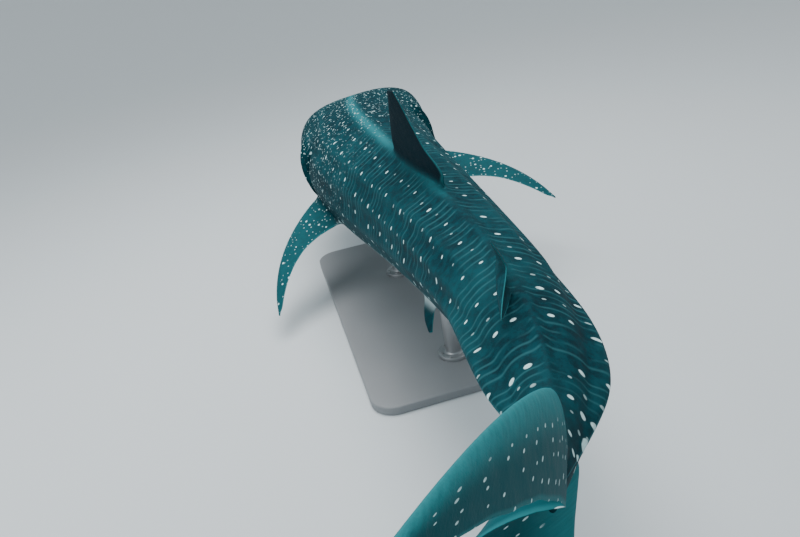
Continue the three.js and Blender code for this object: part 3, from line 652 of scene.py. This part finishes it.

# painted shade: a dark band just behind each gill slit's edge, over the part of the flank that the slits
# cross
behindSlit = np.array([s - (slit - gills["edge"] / 2) for slit in gillSlits])
paintedShade = (smooth(behindSlit / 0.0008) * (1 - smooth((behindSlit - 0.0008) / 0.0028))).max(0)
onGills = smooth((np.abs(angle) - gills["start"] - 8) / 12) * smooth((gills["end"] - np.abs(angle)) / 12)
creaseShade = paintedShade * onGills
# painted highlight: paler bands along the mid-dorsal ridge, weaker ones along the other ridges and a thin one
# along each keel, where light from above catches them
highlightBands = dict(wide=3.4, strong=(0.02, 0.36), weakEnd=0.58, others=0.1, keel=(1.5, 0.9))
front, back = highlightBands["strong"]
ridgeHighlight = bell(angle, highlightBands["wide"]) * smooth((s - front) / 0.05) * np.where(
    s < back, 1, 0.36 + 0.64 * smooth((back + 0.05 - s) / 0.05)) * smooth((highlightBands["weakEnd"] - s) / 0.06)
for where, start, end, height, wide in bodyShape["ridges"][1:]:
    reach = smooth((s - start + 0.1) / 0.05) * smooth((end - s) / 0.06)
    ridgeHighlight += highlightBands["others"] * reach * bell(np.abs(angle) - where, 3.0)
narrow, strong = highlightBands["keel"]
ridgeHighlight += strong * smooth((s - 0.6) / 0.08) * bell(np.abs(angle) - bodyShape["keel"]["angle"], narrow)
keelSpot = dict(at=0.803, angle=-86, long=0.0030, wide=13)  # one bright spot at the end of the right keel
keelGap = np.minimum(np.hypot((s - keelSpot["at"]) / keelSpot["long"],
                              (angle - keelSpot["angle"]) / keelSpot["wide"]), 9)
# painted shade along the mouth slit as well
line = np.array([p for p, _, _ in mouthLine(0.0)])
front = np.nonzero(s < 0.06)[0]
gapTo = np.min(np.linalg.norm(places[front][:, None] - line[None], axis=-1), axis=1)
creaseShade[front] = np.maximum(creaseShade[front], smooth(1 - (gapTo - 0.004) / 0.01))


def keep(piece, name, values):
    layer = piece.data.attributes.new(name, "FLOAT", "POINT")
    layer.data.foreach_set("value", np.asarray(values, np.float32))


fields = dict(
    along=s, backAngle=np.abs(angle), rowIndex=rowIndex, column=column, rowSize=rowSize,
    columnSize=columnSize, finMask=finMask, finSpan=finSpan, finChord=finChord, isPectoral=isPectoral,
    isTail=isTail, dorsalShade=dorsalShade, creaseShade=creaseShade, ridgeHighlight=ridgeHighlight, keelGap=keelGap,
)
for name, values in fields.items():
    keep(skin, name, values)
print("markings placed")


# Shader building
def nodeGroup(name, inputs, outputs):  # an input without a value is a vector
    group = bpy.data.node_groups.new(name, "ShaderNodeTree")
    for label, value in inputs.items():
        kind = "NodeSocketVector" if value is None else "NodeSocketFloat"
        socket = group.interface.new_socket(label, in_out="INPUT", socket_type=kind)
        if value is not None:
            socket.default_value = value
    for label in outputs:
        group.interface.new_socket(label, in_out="OUTPUT", socket_type="NodeSocketFloat")
    ends = group.nodes.new("NodeGroupInput").outputs, group.nodes.new("NodeGroupOutput").inputs
    return group, Wiring(group), *ends


class Wiring:
    def __init__(self, tree):
        self.tree = tree

    def put(self, kind, inputs=None, **settings):
        node = self.tree.nodes.new("ShaderNode" + kind)
        for key, value in settings.items():
            setattr(node, key, value)
        for key, value in (inputs or {}).items():
            self.feed(node.inputs[key], value)
        return node

    def feed(self, socket, value):
        if isinstance(value, bpy.types.NodeSocket):
            self.tree.links.new(value, socket)
        else:
            socket.default_value = value

    def math(self, operation, a, b=0.0, c=None):
        node = self.put("Math", {0: a, 1: b}, operation=operation)
        if c is not None:
            self.feed(node.inputs[2], c)
        return node.outputs[0]

    def times(self, first, *others):
        for other in others:
            first = self.math("MULTIPLY", first, other)
        return first

    def plus(self, a, b):
        return self.math("ADD", a, b)

    def minus(self, a, b):
        return self.math("SUBTRACT", a, b)

    def most(self, a, b):
        return self.math("MAXIMUM", a, b)

    def ramp(self, value, low, high, start=0.0, end=1.0, kind="SMOOTHSTEP"):
        return self.put("MapRange", {"Value": value, "From Min": low, "From Max": high, "To Min": start,
                                     "To Max": end}, interpolation_type=kind).outputs[0]

    def mix(self, share, a, b):
        node = self.put("Mix", data_type="RGBA")
        for key, value in ((0, share), (6, a), (7, b)):
            self.feed(node.inputs[key], value)
        return node.outputs[2]

    def attribute(self, name):
        return self.put("Attribute", attribute_name=name).outputs["Fac"]

    def noise(self, vector, scale, detail=3.0, rough=0.5):
        return self.put("TexNoise", {"Vector": vector, "Scale": scale, "Detail": detail,
                                     "Roughness": rough}).outputs["Fac"]


# Spots of one lattice: the nearest lattice point gives each spot its place and size
def spotGroup():
    group, w, ins, outs = nodeGroup("lattice spots", {
        "Row": 0.0, "Column": 0.0, "Row Size": 0.2, "Column Size": 0.1, "Length": 0.015,
        "Width": 0.03, "Scatter": 0.3, "Kept": 0.9}, ["Mask"])
    half = w.times(ins["Scatter"], 0.5)
    row = w.plus(ins["Row"], half)
    column = w.plus(ins["Column"], w.plus(half, 0.5))
    vector = w.put("CombineXYZ", {0: row, 1: column, 2: 0.0}).outputs[0]
    cells = w.put("TexVoronoi", {"Vector": vector, "Scale": 1.0, "Randomness": ins["Scatter"]},
                  voronoi_dimensions="2D", feature="F1")
    spot = w.put("SeparateXYZ", {0: cells.outputs["Position"]}).outputs
    luck = w.put("SeparateColor", {0: cells.outputs["Color"]}).outputs
    down = w.times(w.minus(row, spot[0]), ins["Row Size"])
    across = w.times(w.minus(column, spot[1]), ins["Column Size"])
    size = w.ramp(luck[0], 0.0, 1.0, 0.7, 1.25, "LINEAR")
    down = w.math("DIVIDE", down, w.times(ins["Length"], size))
    across = w.math("DIVIDE", across, w.times(ins["Width"], size))
    gap = w.math("SQRT", w.plus(w.times(down, down), w.times(across, across)))
    there = w.math("LESS_THAN", luck[1], ins["Kept"])
    w.feed(outs["Mask"], w.times(w.ramp(gap, 1.15, 0.8), there))
    return group


# Round dots on the surface, for the head and the fins
def dotGroup():
    group, w, ins, outs = nodeGroup("scattered dots", {"Vector": None, "Every": 0.05, "Radius": 0.011},
                                    ["Mask"])
    scale = w.math("DIVIDE", 1.0, ins["Every"])
    cells = w.put("TexVoronoi", {"Vector": ins["Vector"], "Scale": scale, "Randomness": 0.75},
                  voronoi_dimensions="3D", feature="F1")
    size = w.math("DIVIDE", ins["Radius"], ins["Every"])
    w.feed(outs["Mask"], w.ramp(cells.outputs["Distance"], w.times(size, 1.12), w.times(size, 0.85)))
    return group


# Fine grain of the hide
def grainGroup():
    group, w, ins, outs = nodeGroup("hide grain", {"Vector": None, "Coarse": 26.0, "Fine": 260.0},
                                    ["Height", "Tone"])
    coarse = w.noise(ins["Vector"], ins["Coarse"], 5.0, 0.6)
    fine = w.noise(ins["Vector"], ins["Fine"], 3.0, 0.6)
    w.feed(outs["Height"], w.math("MULTIPLY_ADD", coarse, 0.6, w.times(fine, 0.4)))
    w.feed(outs["Tone"], w.math("MULTIPLY_ADD", fine, 0.25, w.times(coarse, 0.75)))
    return group


latticeSpots, scatteredDots, hideGrain = spotGroup(), dotGroup(), grainGroup()

# The darkest colour is painted shade for the first dorsal fin, the slit colour is painted shade in the gill
# slits and along the mouth, and the light colour also serves as a painted highlight along the ridges.
skinLook = dict(
    deep=(0.0020, 0.0195, 0.0270, 1), middle=(0.0040, 0.0420, 0.0540, 1), light=(0.020, 0.150, 0.172, 1),
    paintedShade=(0.0014, 0.0100, 0.0160, 1), spot=(0.62, 0.86, 0.86, 1), line=(0.024, 0.115, 0.130, 1),
    belly=(0.44, 0.55, 0.56, 1), slit=(0.002, 0.006, 0.008, 1), tailLit=(0.022, 0.190, 0.210, 1),
    tailWeb=(0.0050, 0.0820, 0.0960, 1), rough=(0.62, 0.76), specular=0.05, bump=0.4, bumpDepth=0.004,
    bellyAngles=(118, 146), bellyStations=(0.004, 0.022, 0.72, 0.79),
)
marks = dict(  # spots: half length and half width in metres; dots: spacing, radius, strength
    rowSpots=dict(length=(0.0068, 0.0082), width=(0.0105, 0.0116), scatter=0.26, kept=0.94),
    betweenSpots=dict(length=0.0050, width=0.0078, scatter=0.34, kept=0.72, strength=0.45),
    tailSpots=dict(rows=13.0, columns=6.5, rowSize=0.10, columnSize=0.075, length=0.0058, width=0.0100,
                   scatter=0.5, kept=0.85),
    headDots=((0.047, 0.0074, 1.0), (0.027, 0.0046, 0.7)),
    pectoralDots=((0.052, 0.0082, 1.0), (0.029, 0.0048, 0.6)), finDots=(0.15, 0.010, 0.35),
    spotStations=(0.15, 0.22), dotStations=(0.40, 0.18), wobble=0.13,
    linesPerRow=5.0, lineStations=(0.24, 0.36, 0.77, 0.80), lineStrength=0.6,
)


def newMaterial(name, fixed):  # fixed holds the shader's values that are the same all over
    material = bpy.data.materials.new(name)
    material.use_nodes = True
    shader = material.node_tree.nodes["Principled BSDF"]
    for key, value in fixed.items():
        shader.inputs[key].default_value = value
    return material, Wiring(material.node_tree), shader


def skinMaterial():
    material, w, shader = newMaterial("whale_shark_hide", {"Specular IOR Level": skinLook["specular"]})
    place = w.put("TexCoord").outputs["Object"]
    read = {k: w.attribute(k) for k in fields}
    onFins = read["finMask"]
    offFins = w.minus(1.0, onFins)
    grain = w.put("Group", {"Vector": place}, node_tree=hideGrain)
    base = w.mix(w.ramp(grain.outputs["Tone"], 0.38, 0.62), skinLook["deep"], skinLook["middle"])
    base = w.mix(w.ramp(w.noise(place, 2.2, 3.0), 0.4, 0.7, 0.0, 0.16), base, skinLook["light"])
    # painted highlight along the ridges and keels
    base = w.mix(w.times(read["ridgeHighlight"], offFins), base, skinLook["light"])
    wander = w.minus(w.noise(place, 4.0, 2.0), 0.5)
    row = w.plus(read["rowIndex"], w.times(wander, marks["wobble"]))

    def lattice(rows, columns, rowSize, columnSize, length, width, scatter, kept):
        return w.put("Group", {"Row": rows, "Column": columns, "Row Size": rowSize, "Column Size": columnSize,
                               "Length": length, "Width": width, "Scatter": scatter, "Kept": kept},
                     node_tree=latticeSpots).outputs["Mask"]

    def dots(every, radius, strength):
        mask = w.put("Group", {"Vector": place, "Every": every, "Radius": radius},
                     node_tree=scatteredDots).outputs["Mask"]
        return w.times(mask, strength)

    def onFlank(shift, length, width, scatter, kept):
        return lattice(w.plus(row, shift), read["column"], read["rowSize"], read["columnSize"],
                       length, width, scatter, kept)

    def fading(start, end):
        return w.ramp(read["along"], start, end)

    # flanks and head: bright rows with smaller spots between them, and dots towards the snout
    m = marks["rowSpots"]
    longer, wider = (w.ramp(read["along"], 0.2, 0.75, *m[k], "LINEAR") for k in ("length", "width"))
    rowSpots = onFlank(0.0, longer, wider, m["scatter"], m["kept"])
    m = marks["betweenSpots"]
    between = w.times(onFlank(0.5, m["length"], m["width"], m["scatter"], m["kept"]), m["strength"])
    headDots = w.most(*(dots(*d) for d in marks["headDots"]))
    pattern = w.most(w.times(headDots, fading(*marks["dotStations"])),
                     w.times(w.most(rowSpots, between), fading(*marks["spotStations"])))

    # the pectoral fins are densely dotted, the tail fin has rows of slim spots behind
    # its lit leading part, and the other fins have a few faint dots
    m = marks["tailSpots"]
    tailSpots = lattice(w.times(read["finSpan"], m["rows"]), w.times(read["finChord"], m["columns"]),
                        m["rowSize"], m["columnSize"], m["length"], m["width"], m["scatter"], m["kept"])
    tailSpots = w.times(tailSpots, w.ramp(read["finChord"], 0.30, 0.42))
    finPattern = dots(*marks["finDots"])
    pectoralDots = w.most(*(dots(*d) for d in marks["pectoralDots"]))
    for share, other in ((read["isTail"], tailSpots), (read["isPectoral"], pectoralDots)):
        finPattern = w.put("Mix", {0: share, 2: finPattern, 3: other}).outputs[0]
    pattern = w.put("Mix", {0: onFins, 2: pattern, 3: finPattern}).outputs[0]
    pattern = w.most(pattern, w.times(w.ramp(read["keelGap"], 1.15, 0.85), offFins))

    # thin pale lines between the rows of spots
    phase = w.math("FRACT", w.times(row, marks["linesPerRow"]))
    lines = w.ramp(w.math("ABSOLUTE", w.minus(phase, 0.5)), 0.28, 0.49)
    fromRow = w.math("ABSOLUTE", w.minus(w.math("FRACT", row), 0.5))
    begin, full, fade, end = marks["lineStations"]
    lines = w.times(lines, w.ramp(fromRow, 0.44, 0.36), w.ramp(w.noise(place, 7.0, 2.0), 0.36, 0.56),
                    w.ramp(read["backAngle"], 1.0, 6.0), fading(begin, full), offFins, fading(end, fade))
    base = w.mix(w.times(lines, marks["lineStrength"]), base, skinLook["line"])

    # fins: streaks along the rays, the tail's lit leading part and pale rear margins
    rays = w.put("CombineXYZ", {0: w.times(read["finSpan"], 90.0), 1: w.times(read["finChord"], 3.0),
                                2: 0.0}).outputs[0]
    streak = w.noise(rays, 1.0, 3.0, 0.6)
    leading = w.times(w.ramp(read["finChord"], 0.62, 0.12), read["isTail"],
                      w.ramp(streak, 0.2, 0.7, 0.62, 1.0))
    rear = w.ramp(read["finChord"], 0.945, 0.985, 0.0, 0.55)
    narrow = w.times(w.ramp(read["finChord"], 0.10, 0.03), read["isPectoral"])
    # painted shade: the first dorsal fin is darkened all over
    base = w.mix(w.times(onFins, read["dorsalShade"]), base, skinLook["paintedShade"])
    base = w.mix(w.times(onFins, read["isTail"], 0.8), base, skinLook["tailWeb"])
    base = w.mix(w.times(onFins, read["isPectoral"], 0.35), base, skinLook["light"])
    base = w.mix(w.times(w.most(w.most(leading, rear), narrow), onFins), base, skinLook["tailLit"])

    away = w.plus(read["backAngle"], w.times(w.noise(place, 3.0, 3.0), 22.0))
    begin, full, fade, end = skinLook["bellyStations"]
    pale = w.times(w.ramp(away, *skinLook["bellyAngles"]), offFins, fading(begin, full), fading(end, fade))
    pattern = w.times(pattern, w.minus(1.0, w.times(pale, 0.9)))
    base = w.mix(pale, base, skinLook["belly"])
    blotch = w.ramp(w.noise(place, 60.0, 3.0), 0.3, 0.6, 0.72, 1.0)
    colour = w.mix(w.times(pattern, blotch), base, skinLook["spot"])
    # painted shade: the slit colour in the gill slits and along the mouth
    w.feed(shader.inputs["Base Color"], w.mix(read["creaseShade"], colour, skinLook["slit"]))
    w.feed(shader.inputs["Roughness"], w.ramp(grain.outputs["Tone"], 0.3, 0.7, *skinLook["rough"]))
    height = w.plus(grain.outputs["Height"], w.times(lines, 0.25))
    height = w.plus(height, w.times(streak, onFins, 0.5))
    bump = w.put("Bump", {"Strength": skinLook["bump"], "Distance": skinLook["bumpDepth"], "Height": height})
    w.feed(shader.inputs["Normal"], bump.outputs[0])
    return material


def dress(piece, material, slot, *replaced):
    piece.data.materials.clear()
    piece.data.materials.append(material)
    piece.data.polygons.foreach_set("use_smooth", [True] * len(piece.data.polygons))
    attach(piece, "root")
    if replaced:
        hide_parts(*replaced)


skin.name = "shark_skin"
fleshNodes = [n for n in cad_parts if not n.startswith(("stand_", "eye_"))]
dress(skin, skinMaterial(), "hide", *fleshNodes)
print("hide done, replaces", len(fleshNodes), "nodes")


# Eyes
eyeLook = dict(
    pupil=(0.002, 0.002, 0.003, 1), darkIris=(0.012, 0.022, 0.026, 1), paleIris=(0.05, 0.075, 0.08, 1),
    white=(0.02, 0.035, 0.04, 1), pupilEdge=(0.40, 0.45), irisEdge=(0.62, 0.74), bulge=0.0015,
    fixed={"Roughness": 0.22, "Specular IOR Level": 0.3, "Coat Weight": 0.25, "Coat Roughness": 0.08},
)


def eyeMaterial():
    material, w, shader = newMaterial("eye_globe", eyeLook["fixed"])
    ring = w.attribute("fromPupil")
    fleck = w.noise(w.put("TexCoord").outputs["Object"], 320.0, 3.0)
    iris = w.mix(fleck, eyeLook["darkIris"], eyeLook["paleIris"])
    colour = w.mix(w.ramp(ring, *eyeLook["pupilEdge"]), eyeLook["pupil"], iris)
    w.feed(shader.inputs["Base Color"], w.mix(w.ramp(ring, *eyeLook["irisEdge"]), colour, eyeLook["white"]))
    return material


globeMaterial = eyeMaterial()
for word, (centre, out) in eyePlaces.items():
    globe = ball("eye_globe_" + word, eye["radius"], centre, 48, 32)
    places = np.array([v.co for v in globe.data.vertices])
    turn = np.degrees(np.arccos(np.clip(unit(places - centre) @ out, -1, 1)))
    bulge = bell(turn, 22) * eyeLook["bulge"]
    places += unit(places - centre) * bulge[:, None]
    globe.data.vertices.foreach_set("co", places.ravel())
    keep(globe, "fromPupil", turn / 60)
    dress(globe, globeMaterial, "eye", "eye_" + word)
print("eyes done")


# Stand: a rounded slab, and turned rods with rubber collars and screwed flanges
standLook = dict(
    paint=((0.19, 0.20, 0.21, 1), (0.24, 0.25, 0.26, 1)),
    steel=((0.30, 0.31, 0.32, 1), (0.46, 0.47, 0.48, 1)),
    rubber=((0.012, 0.013, 0.014, 1), (0.022, 0.023, 0.024, 1)),
)


def standMaterial(name, look, scale, detail, rough, fixed, brushed=False):
    material, w, shader = newMaterial(name, fixed)
    place = w.put("TexCoord").outputs["Object"]
    along = w.put("Mapping", {"Vector": place, "Scale": (160.0, 160.0, 3.0)}).outputs[0] if brushed else place
    cloud = w.noise(along, scale, detail)
    w.feed(shader.inputs["Base Color"], w.mix(cloud, *standLook[look]))
    w.feed(shader.inputs["Roughness"], w.ramp(cloud, 0.3, 0.7, *rough) if rough else 0.75)
    if look == "paint":  # fine specks of sprayed paint
        bump = w.put("Bump", {"Strength": 0.2, "Distance": 0.0006, "Height": w.noise(place, 900.0, 2.0)})
        w.feed(shader.inputs["Normal"], bump.outputs[0])
    return material


stand = dict(
    wide=1.0, long=2.2, thick=0.05, corner=0.14, bevel=0.01, cornerSteps=20,
    rod=0.045, foot=0.09, footTall=0.022, fillet=0.013, around=72,
    collar=0.057, collarTall=0.05, collarEdge=0.005,
    screws=6, screwCircle=0.0715, screwHead=0.0095, screwTall=0.007, socket=0.0052, socketDeep=0.0045,
    sharpAngle=35,
)


def baseSlab():
    corners = [(1, 1, 0), (-1, 1, 90), (-1, -1, 180), (1, -1, 270)]
    rings = []
    arc = np.radians(np.linspace(0, 90, 7))
    profile = [(stand["bevel"] * 0.4, 0.0), (0.0, stand["bevel"] * 0.4)]
    profile += [(stand["bevel"] * (1 - cos(t)), stand["thick"] - stand["bevel"] * (1 - sin(t)))
                for t in arc]
    profile += [(inset, stand["thick"]) for inset in (0.04, 0.16, 0.36)]
    for inset, high in profile:
        ring = []
        for x, y, first in corners:
            middle = (x * (stand["wide"] / 2 - stand["corner"]), y * (stand["long"] / 2 - stand["corner"]))
            for k in range(stand["cornerSteps"] + 1):
                t = radians(first + 90 * k / stand["cornerSteps"])
                reach = max(stand["corner"] - inset, 0.004)
                shift = min(stand["corner"] - inset - reach, 0)
                ring.append((middle[0] + x * shift + reach * cos(t),
                             middle[1] + y * shift + reach * sin(t), high))
        rings.append(ring)
    return loft("stand_slab", rings)


def bellyOver(x, y):
    hit = skin.ray_cast(Vector((x, y, stand["thick"] + 0.05)), Vector((0, 0, 1)))
    return hit[1].z


# standing pairs radii with heights, and hanging pairs them with depths under the belly
def turnedPiece(name, middle, standing, hanging=(), around=stand["around"], closed=True):
    rings = []
    for wide, high, hung in [(*p, False) for p in standing] + [(*p, True) for p in hanging]:
        ring = []
        for t in np.arange(around) * 2 * pi / around:
            x, y = middle[0] + wide * cos(t), middle[1] + wide * sin(t)
            ring.append((x, y, bellyOver(x, y) - high if hung else high))
        rings.append(ring)
    return loft(name, rings, closed)


def screwHead():
    n = 36
    t = np.arange(n) * 2 * pi / n
    flat = stand["socket"] / np.cos((t + pi / 6) % (pi / 3) - pi / 6)
    full, top = stand["screwHead"], stand["screwTall"]
    rings = [(full, 0.0), (full, top * 0.85), (full * 0.93, top), (flat * 1.12, top), (flat, top * 0.95),
             (flat, top - stand["socketDeep"]), (flat * 0.3, top - stand["socketDeep"])]
    return loft("screw_head", [np.stack([r * np.cos(t), r * np.sin(t), np.full(n, z)], -1) for r, z in rings])


def screwCircleTree(material):
    tree = bpy.data.node_groups.new("screw circle", "GeometryNodeTree")
    face = tree.interface
    face.new_socket("Geometry", in_out="INPUT", socket_type="NodeSocketGeometry")
    counted = face.new_socket("Count", in_out="INPUT", socket_type="NodeSocketInt")
    spaced = face.new_socket("Circle Radius", in_out="INPUT", socket_type="NodeSocketFloat")
    face.new_socket("Geometry", in_out="OUTPUT", socket_type="NodeSocketGeometry")
    kinds = ("MeshCircle", "InstanceOnPoints", "RealizeInstances", "SetMaterial")
    circle, instance, realize, painted = (tree.nodes.new("GeometryNode" + k) for k in kinds)
    entry, leave = tree.nodes.new("NodeGroupInput"), tree.nodes.new("NodeGroupOutput")
    painted.inputs["Material"].default_value = material
    for a, b in ((entry.outputs["Count"], circle.inputs["Vertices"]),
                 (entry.outputs["Circle Radius"], circle.inputs["Radius"]),
                 (circle.outputs["Mesh"], instance.inputs["Points"]),
                 (entry.outputs["Geometry"], instance.inputs["Instance"]),
                 (instance.outputs["Instances"], realize.inputs["Geometry"]),
                 (realize.outputs["Geometry"], painted.inputs["Geometry"]),
                 (painted.outputs["Geometry"], leave.inputs[0])):
        tree.links.new(a, b)
    return tree, {counted.identifier: stand["screws"], spaced.identifier: stand["screwCircle"]}


def screwsRound(word, middle, tree, values):
    head = screwHead()
    repeat = head.modifiers.new("screws", "NODES")
    repeat.node_group = tree
    for key, value in values.items():
        repeat[key] = value
    made = bpy.data.meshes.new_from_object(head.evaluated_get(bpy.context.evaluated_depsgraph_get()))
    head.modifiers.clear()
    bpy.data.objects.remove(head)
    made.transform(Matrix.Translation(Vector((*middle, stand["thick"] + stand["footTall"]))))
    return addPiece("stand_screws_" + word, made)


def finishPiece(piece, material, slot, *replaced):
    dress(piece, material, slot, *replaced)
    piece.data.set_sharp_from_angle(angle=radians(stand["sharpAngle"]))


paint = standMaterial("stand_paint_satin", "paint", 3.0, 4.0, (0.45, 0.6), {})
steel = standMaterial("stand_steel_brushed", "steel", 4.0, 4.0, (0.38, 0.55), {"Metallic": 1.0}, brushed=True)
rubber = standMaterial("stand_rubber", "rubber", 60.0, 3.0, None, {})
finishPiece(baseSlab(), paint, "stand_paint", "stand_base")
screwTree, screwValues = screwCircleTree(steel)
for word in ("front", "rear"):
    node = "stand_rod_" + word
    middle = np.sum(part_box(node), axis=0)[:2] / 2
    floor, r, foot = stand["thick"], stand["rod"], stand["foot"]
    top, curve = floor + stand["footTall"], stand["fillet"]
    rise = np.radians(np.linspace(0, 90, 7))
    standing = [(foot - 0.001, floor), (foot, floor + 0.001), (foot, top - 0.003),
                (foot - 0.001, top - 0.001), (foot - 0.003, top)]
    standing += [(r + curve * (1 - sin(t)), top + curve * (1 - cos(t))) for t in rise] + [(r, floor + 0.16)]
    hanging = [(r, 0.03), (r, 0.0008), (0.02, 0.0008)]
    rod = turnedPiece("stand_rod_%s_turned" % word, middle, standing, hanging)
    finishPiece(rod, steel, "stand_metal", node)
    c, tall, e = stand["collar"], stand["collarTall"], stand["collarEdge"]
    hanging = [(r + 0.0006, tall), (c - e, tall), (c - e * 0.3, tall - e * 0.3), (c, tall - e), (c, 0.012),
               (c + 0.006, 0.002), (c + 0.006, 0.0004), (r + 0.0006, 0.0004), (r + 0.0006, tall * 0.5)]
    finishPiece(turnedPiece("stand_collar_" + word, middle, [], hanging), rubber, "stand_metal")
    finishPiece(screwsRound(word, middle, screwTree, screwValues), steel, "stand_metal")
print("stand finished")


# Stage, light and camera
stage = dict(
    radius=12.0, cove=28.0, coveSteps=25, around=96, drop=0.001,
    paint={"Base Color": (0.60, 0.64, 0.66, 1), "Roughness": 0.9, "Specular IOR Level": 0.1},
)


def studioShell():  # floor and wall in one, joined by a wide cove
    reach, cove = stage["radius"], stage["cove"]
    outline = [(reach + cove * sin(t), cove * (1 - cos(t)) - stage["drop"])
               for t in np.linspace(0, pi / 2, stage["coveSteps"])]
    shell = turnedPiece("studio_shell", (0, 0), outline, around=stage["around"], closed=False)
    shell.data.polygons.foreach_set("use_smooth", [True] * len(shell.data.polygons))
    shell.data.materials.append(newMaterial("studio_paint", stage["paint"])[0])


studioShell()
world = bpy.data.worlds.new("studio")
bpy.context.scene.world = world
world.use_nodes = True
world.node_tree.nodes["Background"].inputs[0].default_value = (0.80, 0.90, 0.95, 1)
world.node_tree.nodes["Background"].inputs[1].default_value = 0.55

studio = dict(  # place, aim, size, power, colour
    overhead=((0.5, -0.5, 6.5), (0, 0.3, 0.8), 5.0, 430, (1, 1, 1)),
    side=((6.5, 3.5, 4.5), (0, 1.0, 0.8), 4.0, 190, (0.92, 0.97, 1)),
)
for name, (place, aim, size, power, colour) in studio.items():
    lamp = bpy.data.lights.new(name, "AREA")
    lamp.size, lamp.energy, lamp.color = size, power, colour
    piece = addPiece("light_" + name, lamp)
    piece.location = place
    piece.rotation_euler = (Vector(aim) - Vector(place)).to_track_quat("-Z", "Y").to_euler()
sun = bpy.data.lights.new("high_sun", "SUN")
sun.energy, sun.angle = 1.1, radians(40)
addPiece("light_high_sun", sun).rotation_euler = (radians(14), radians(-10), 0)

camera = dict(place=(0.787, 3.425, 1.45), azimuth=-9.554, down=25.485, roll=-10.398, focal=717.2, wide=800)


def addCamera():
    a, e, r = (radians(camera[k]) for k in ("azimuth", "down", "roll"))
    ahead = np.array([sin(a) * cos(e), -cos(a) * cos(e), -sin(e)])
    right = unit(np.cross(ahead, [0, 0, 1.0]))
    up = np.cross(right, ahead)
    x, y = right * cos(r) + up * sin(r), up * cos(r) - right * sin(r)
    data = bpy.data.cameras.new("photo_camera")
    data.sensor_width = 36
    data.lens = camera["focal"] / camera["wide"] * 36
    data.clip_start, data.clip_end = 0.05, 200
    piece = addPiece("photo_camera", data)
    place = np.array(camera["place"]) + np.array(pose["dorsalPlace"])
    turn = Matrix((x, y, -ahead)).transposed().to_4x4()
    piece.matrix_world = Matrix.Translation(Vector(place)) @ turn
    bpy.context.scene.camera = piece


addCamera()
print("stage, light and camera done")
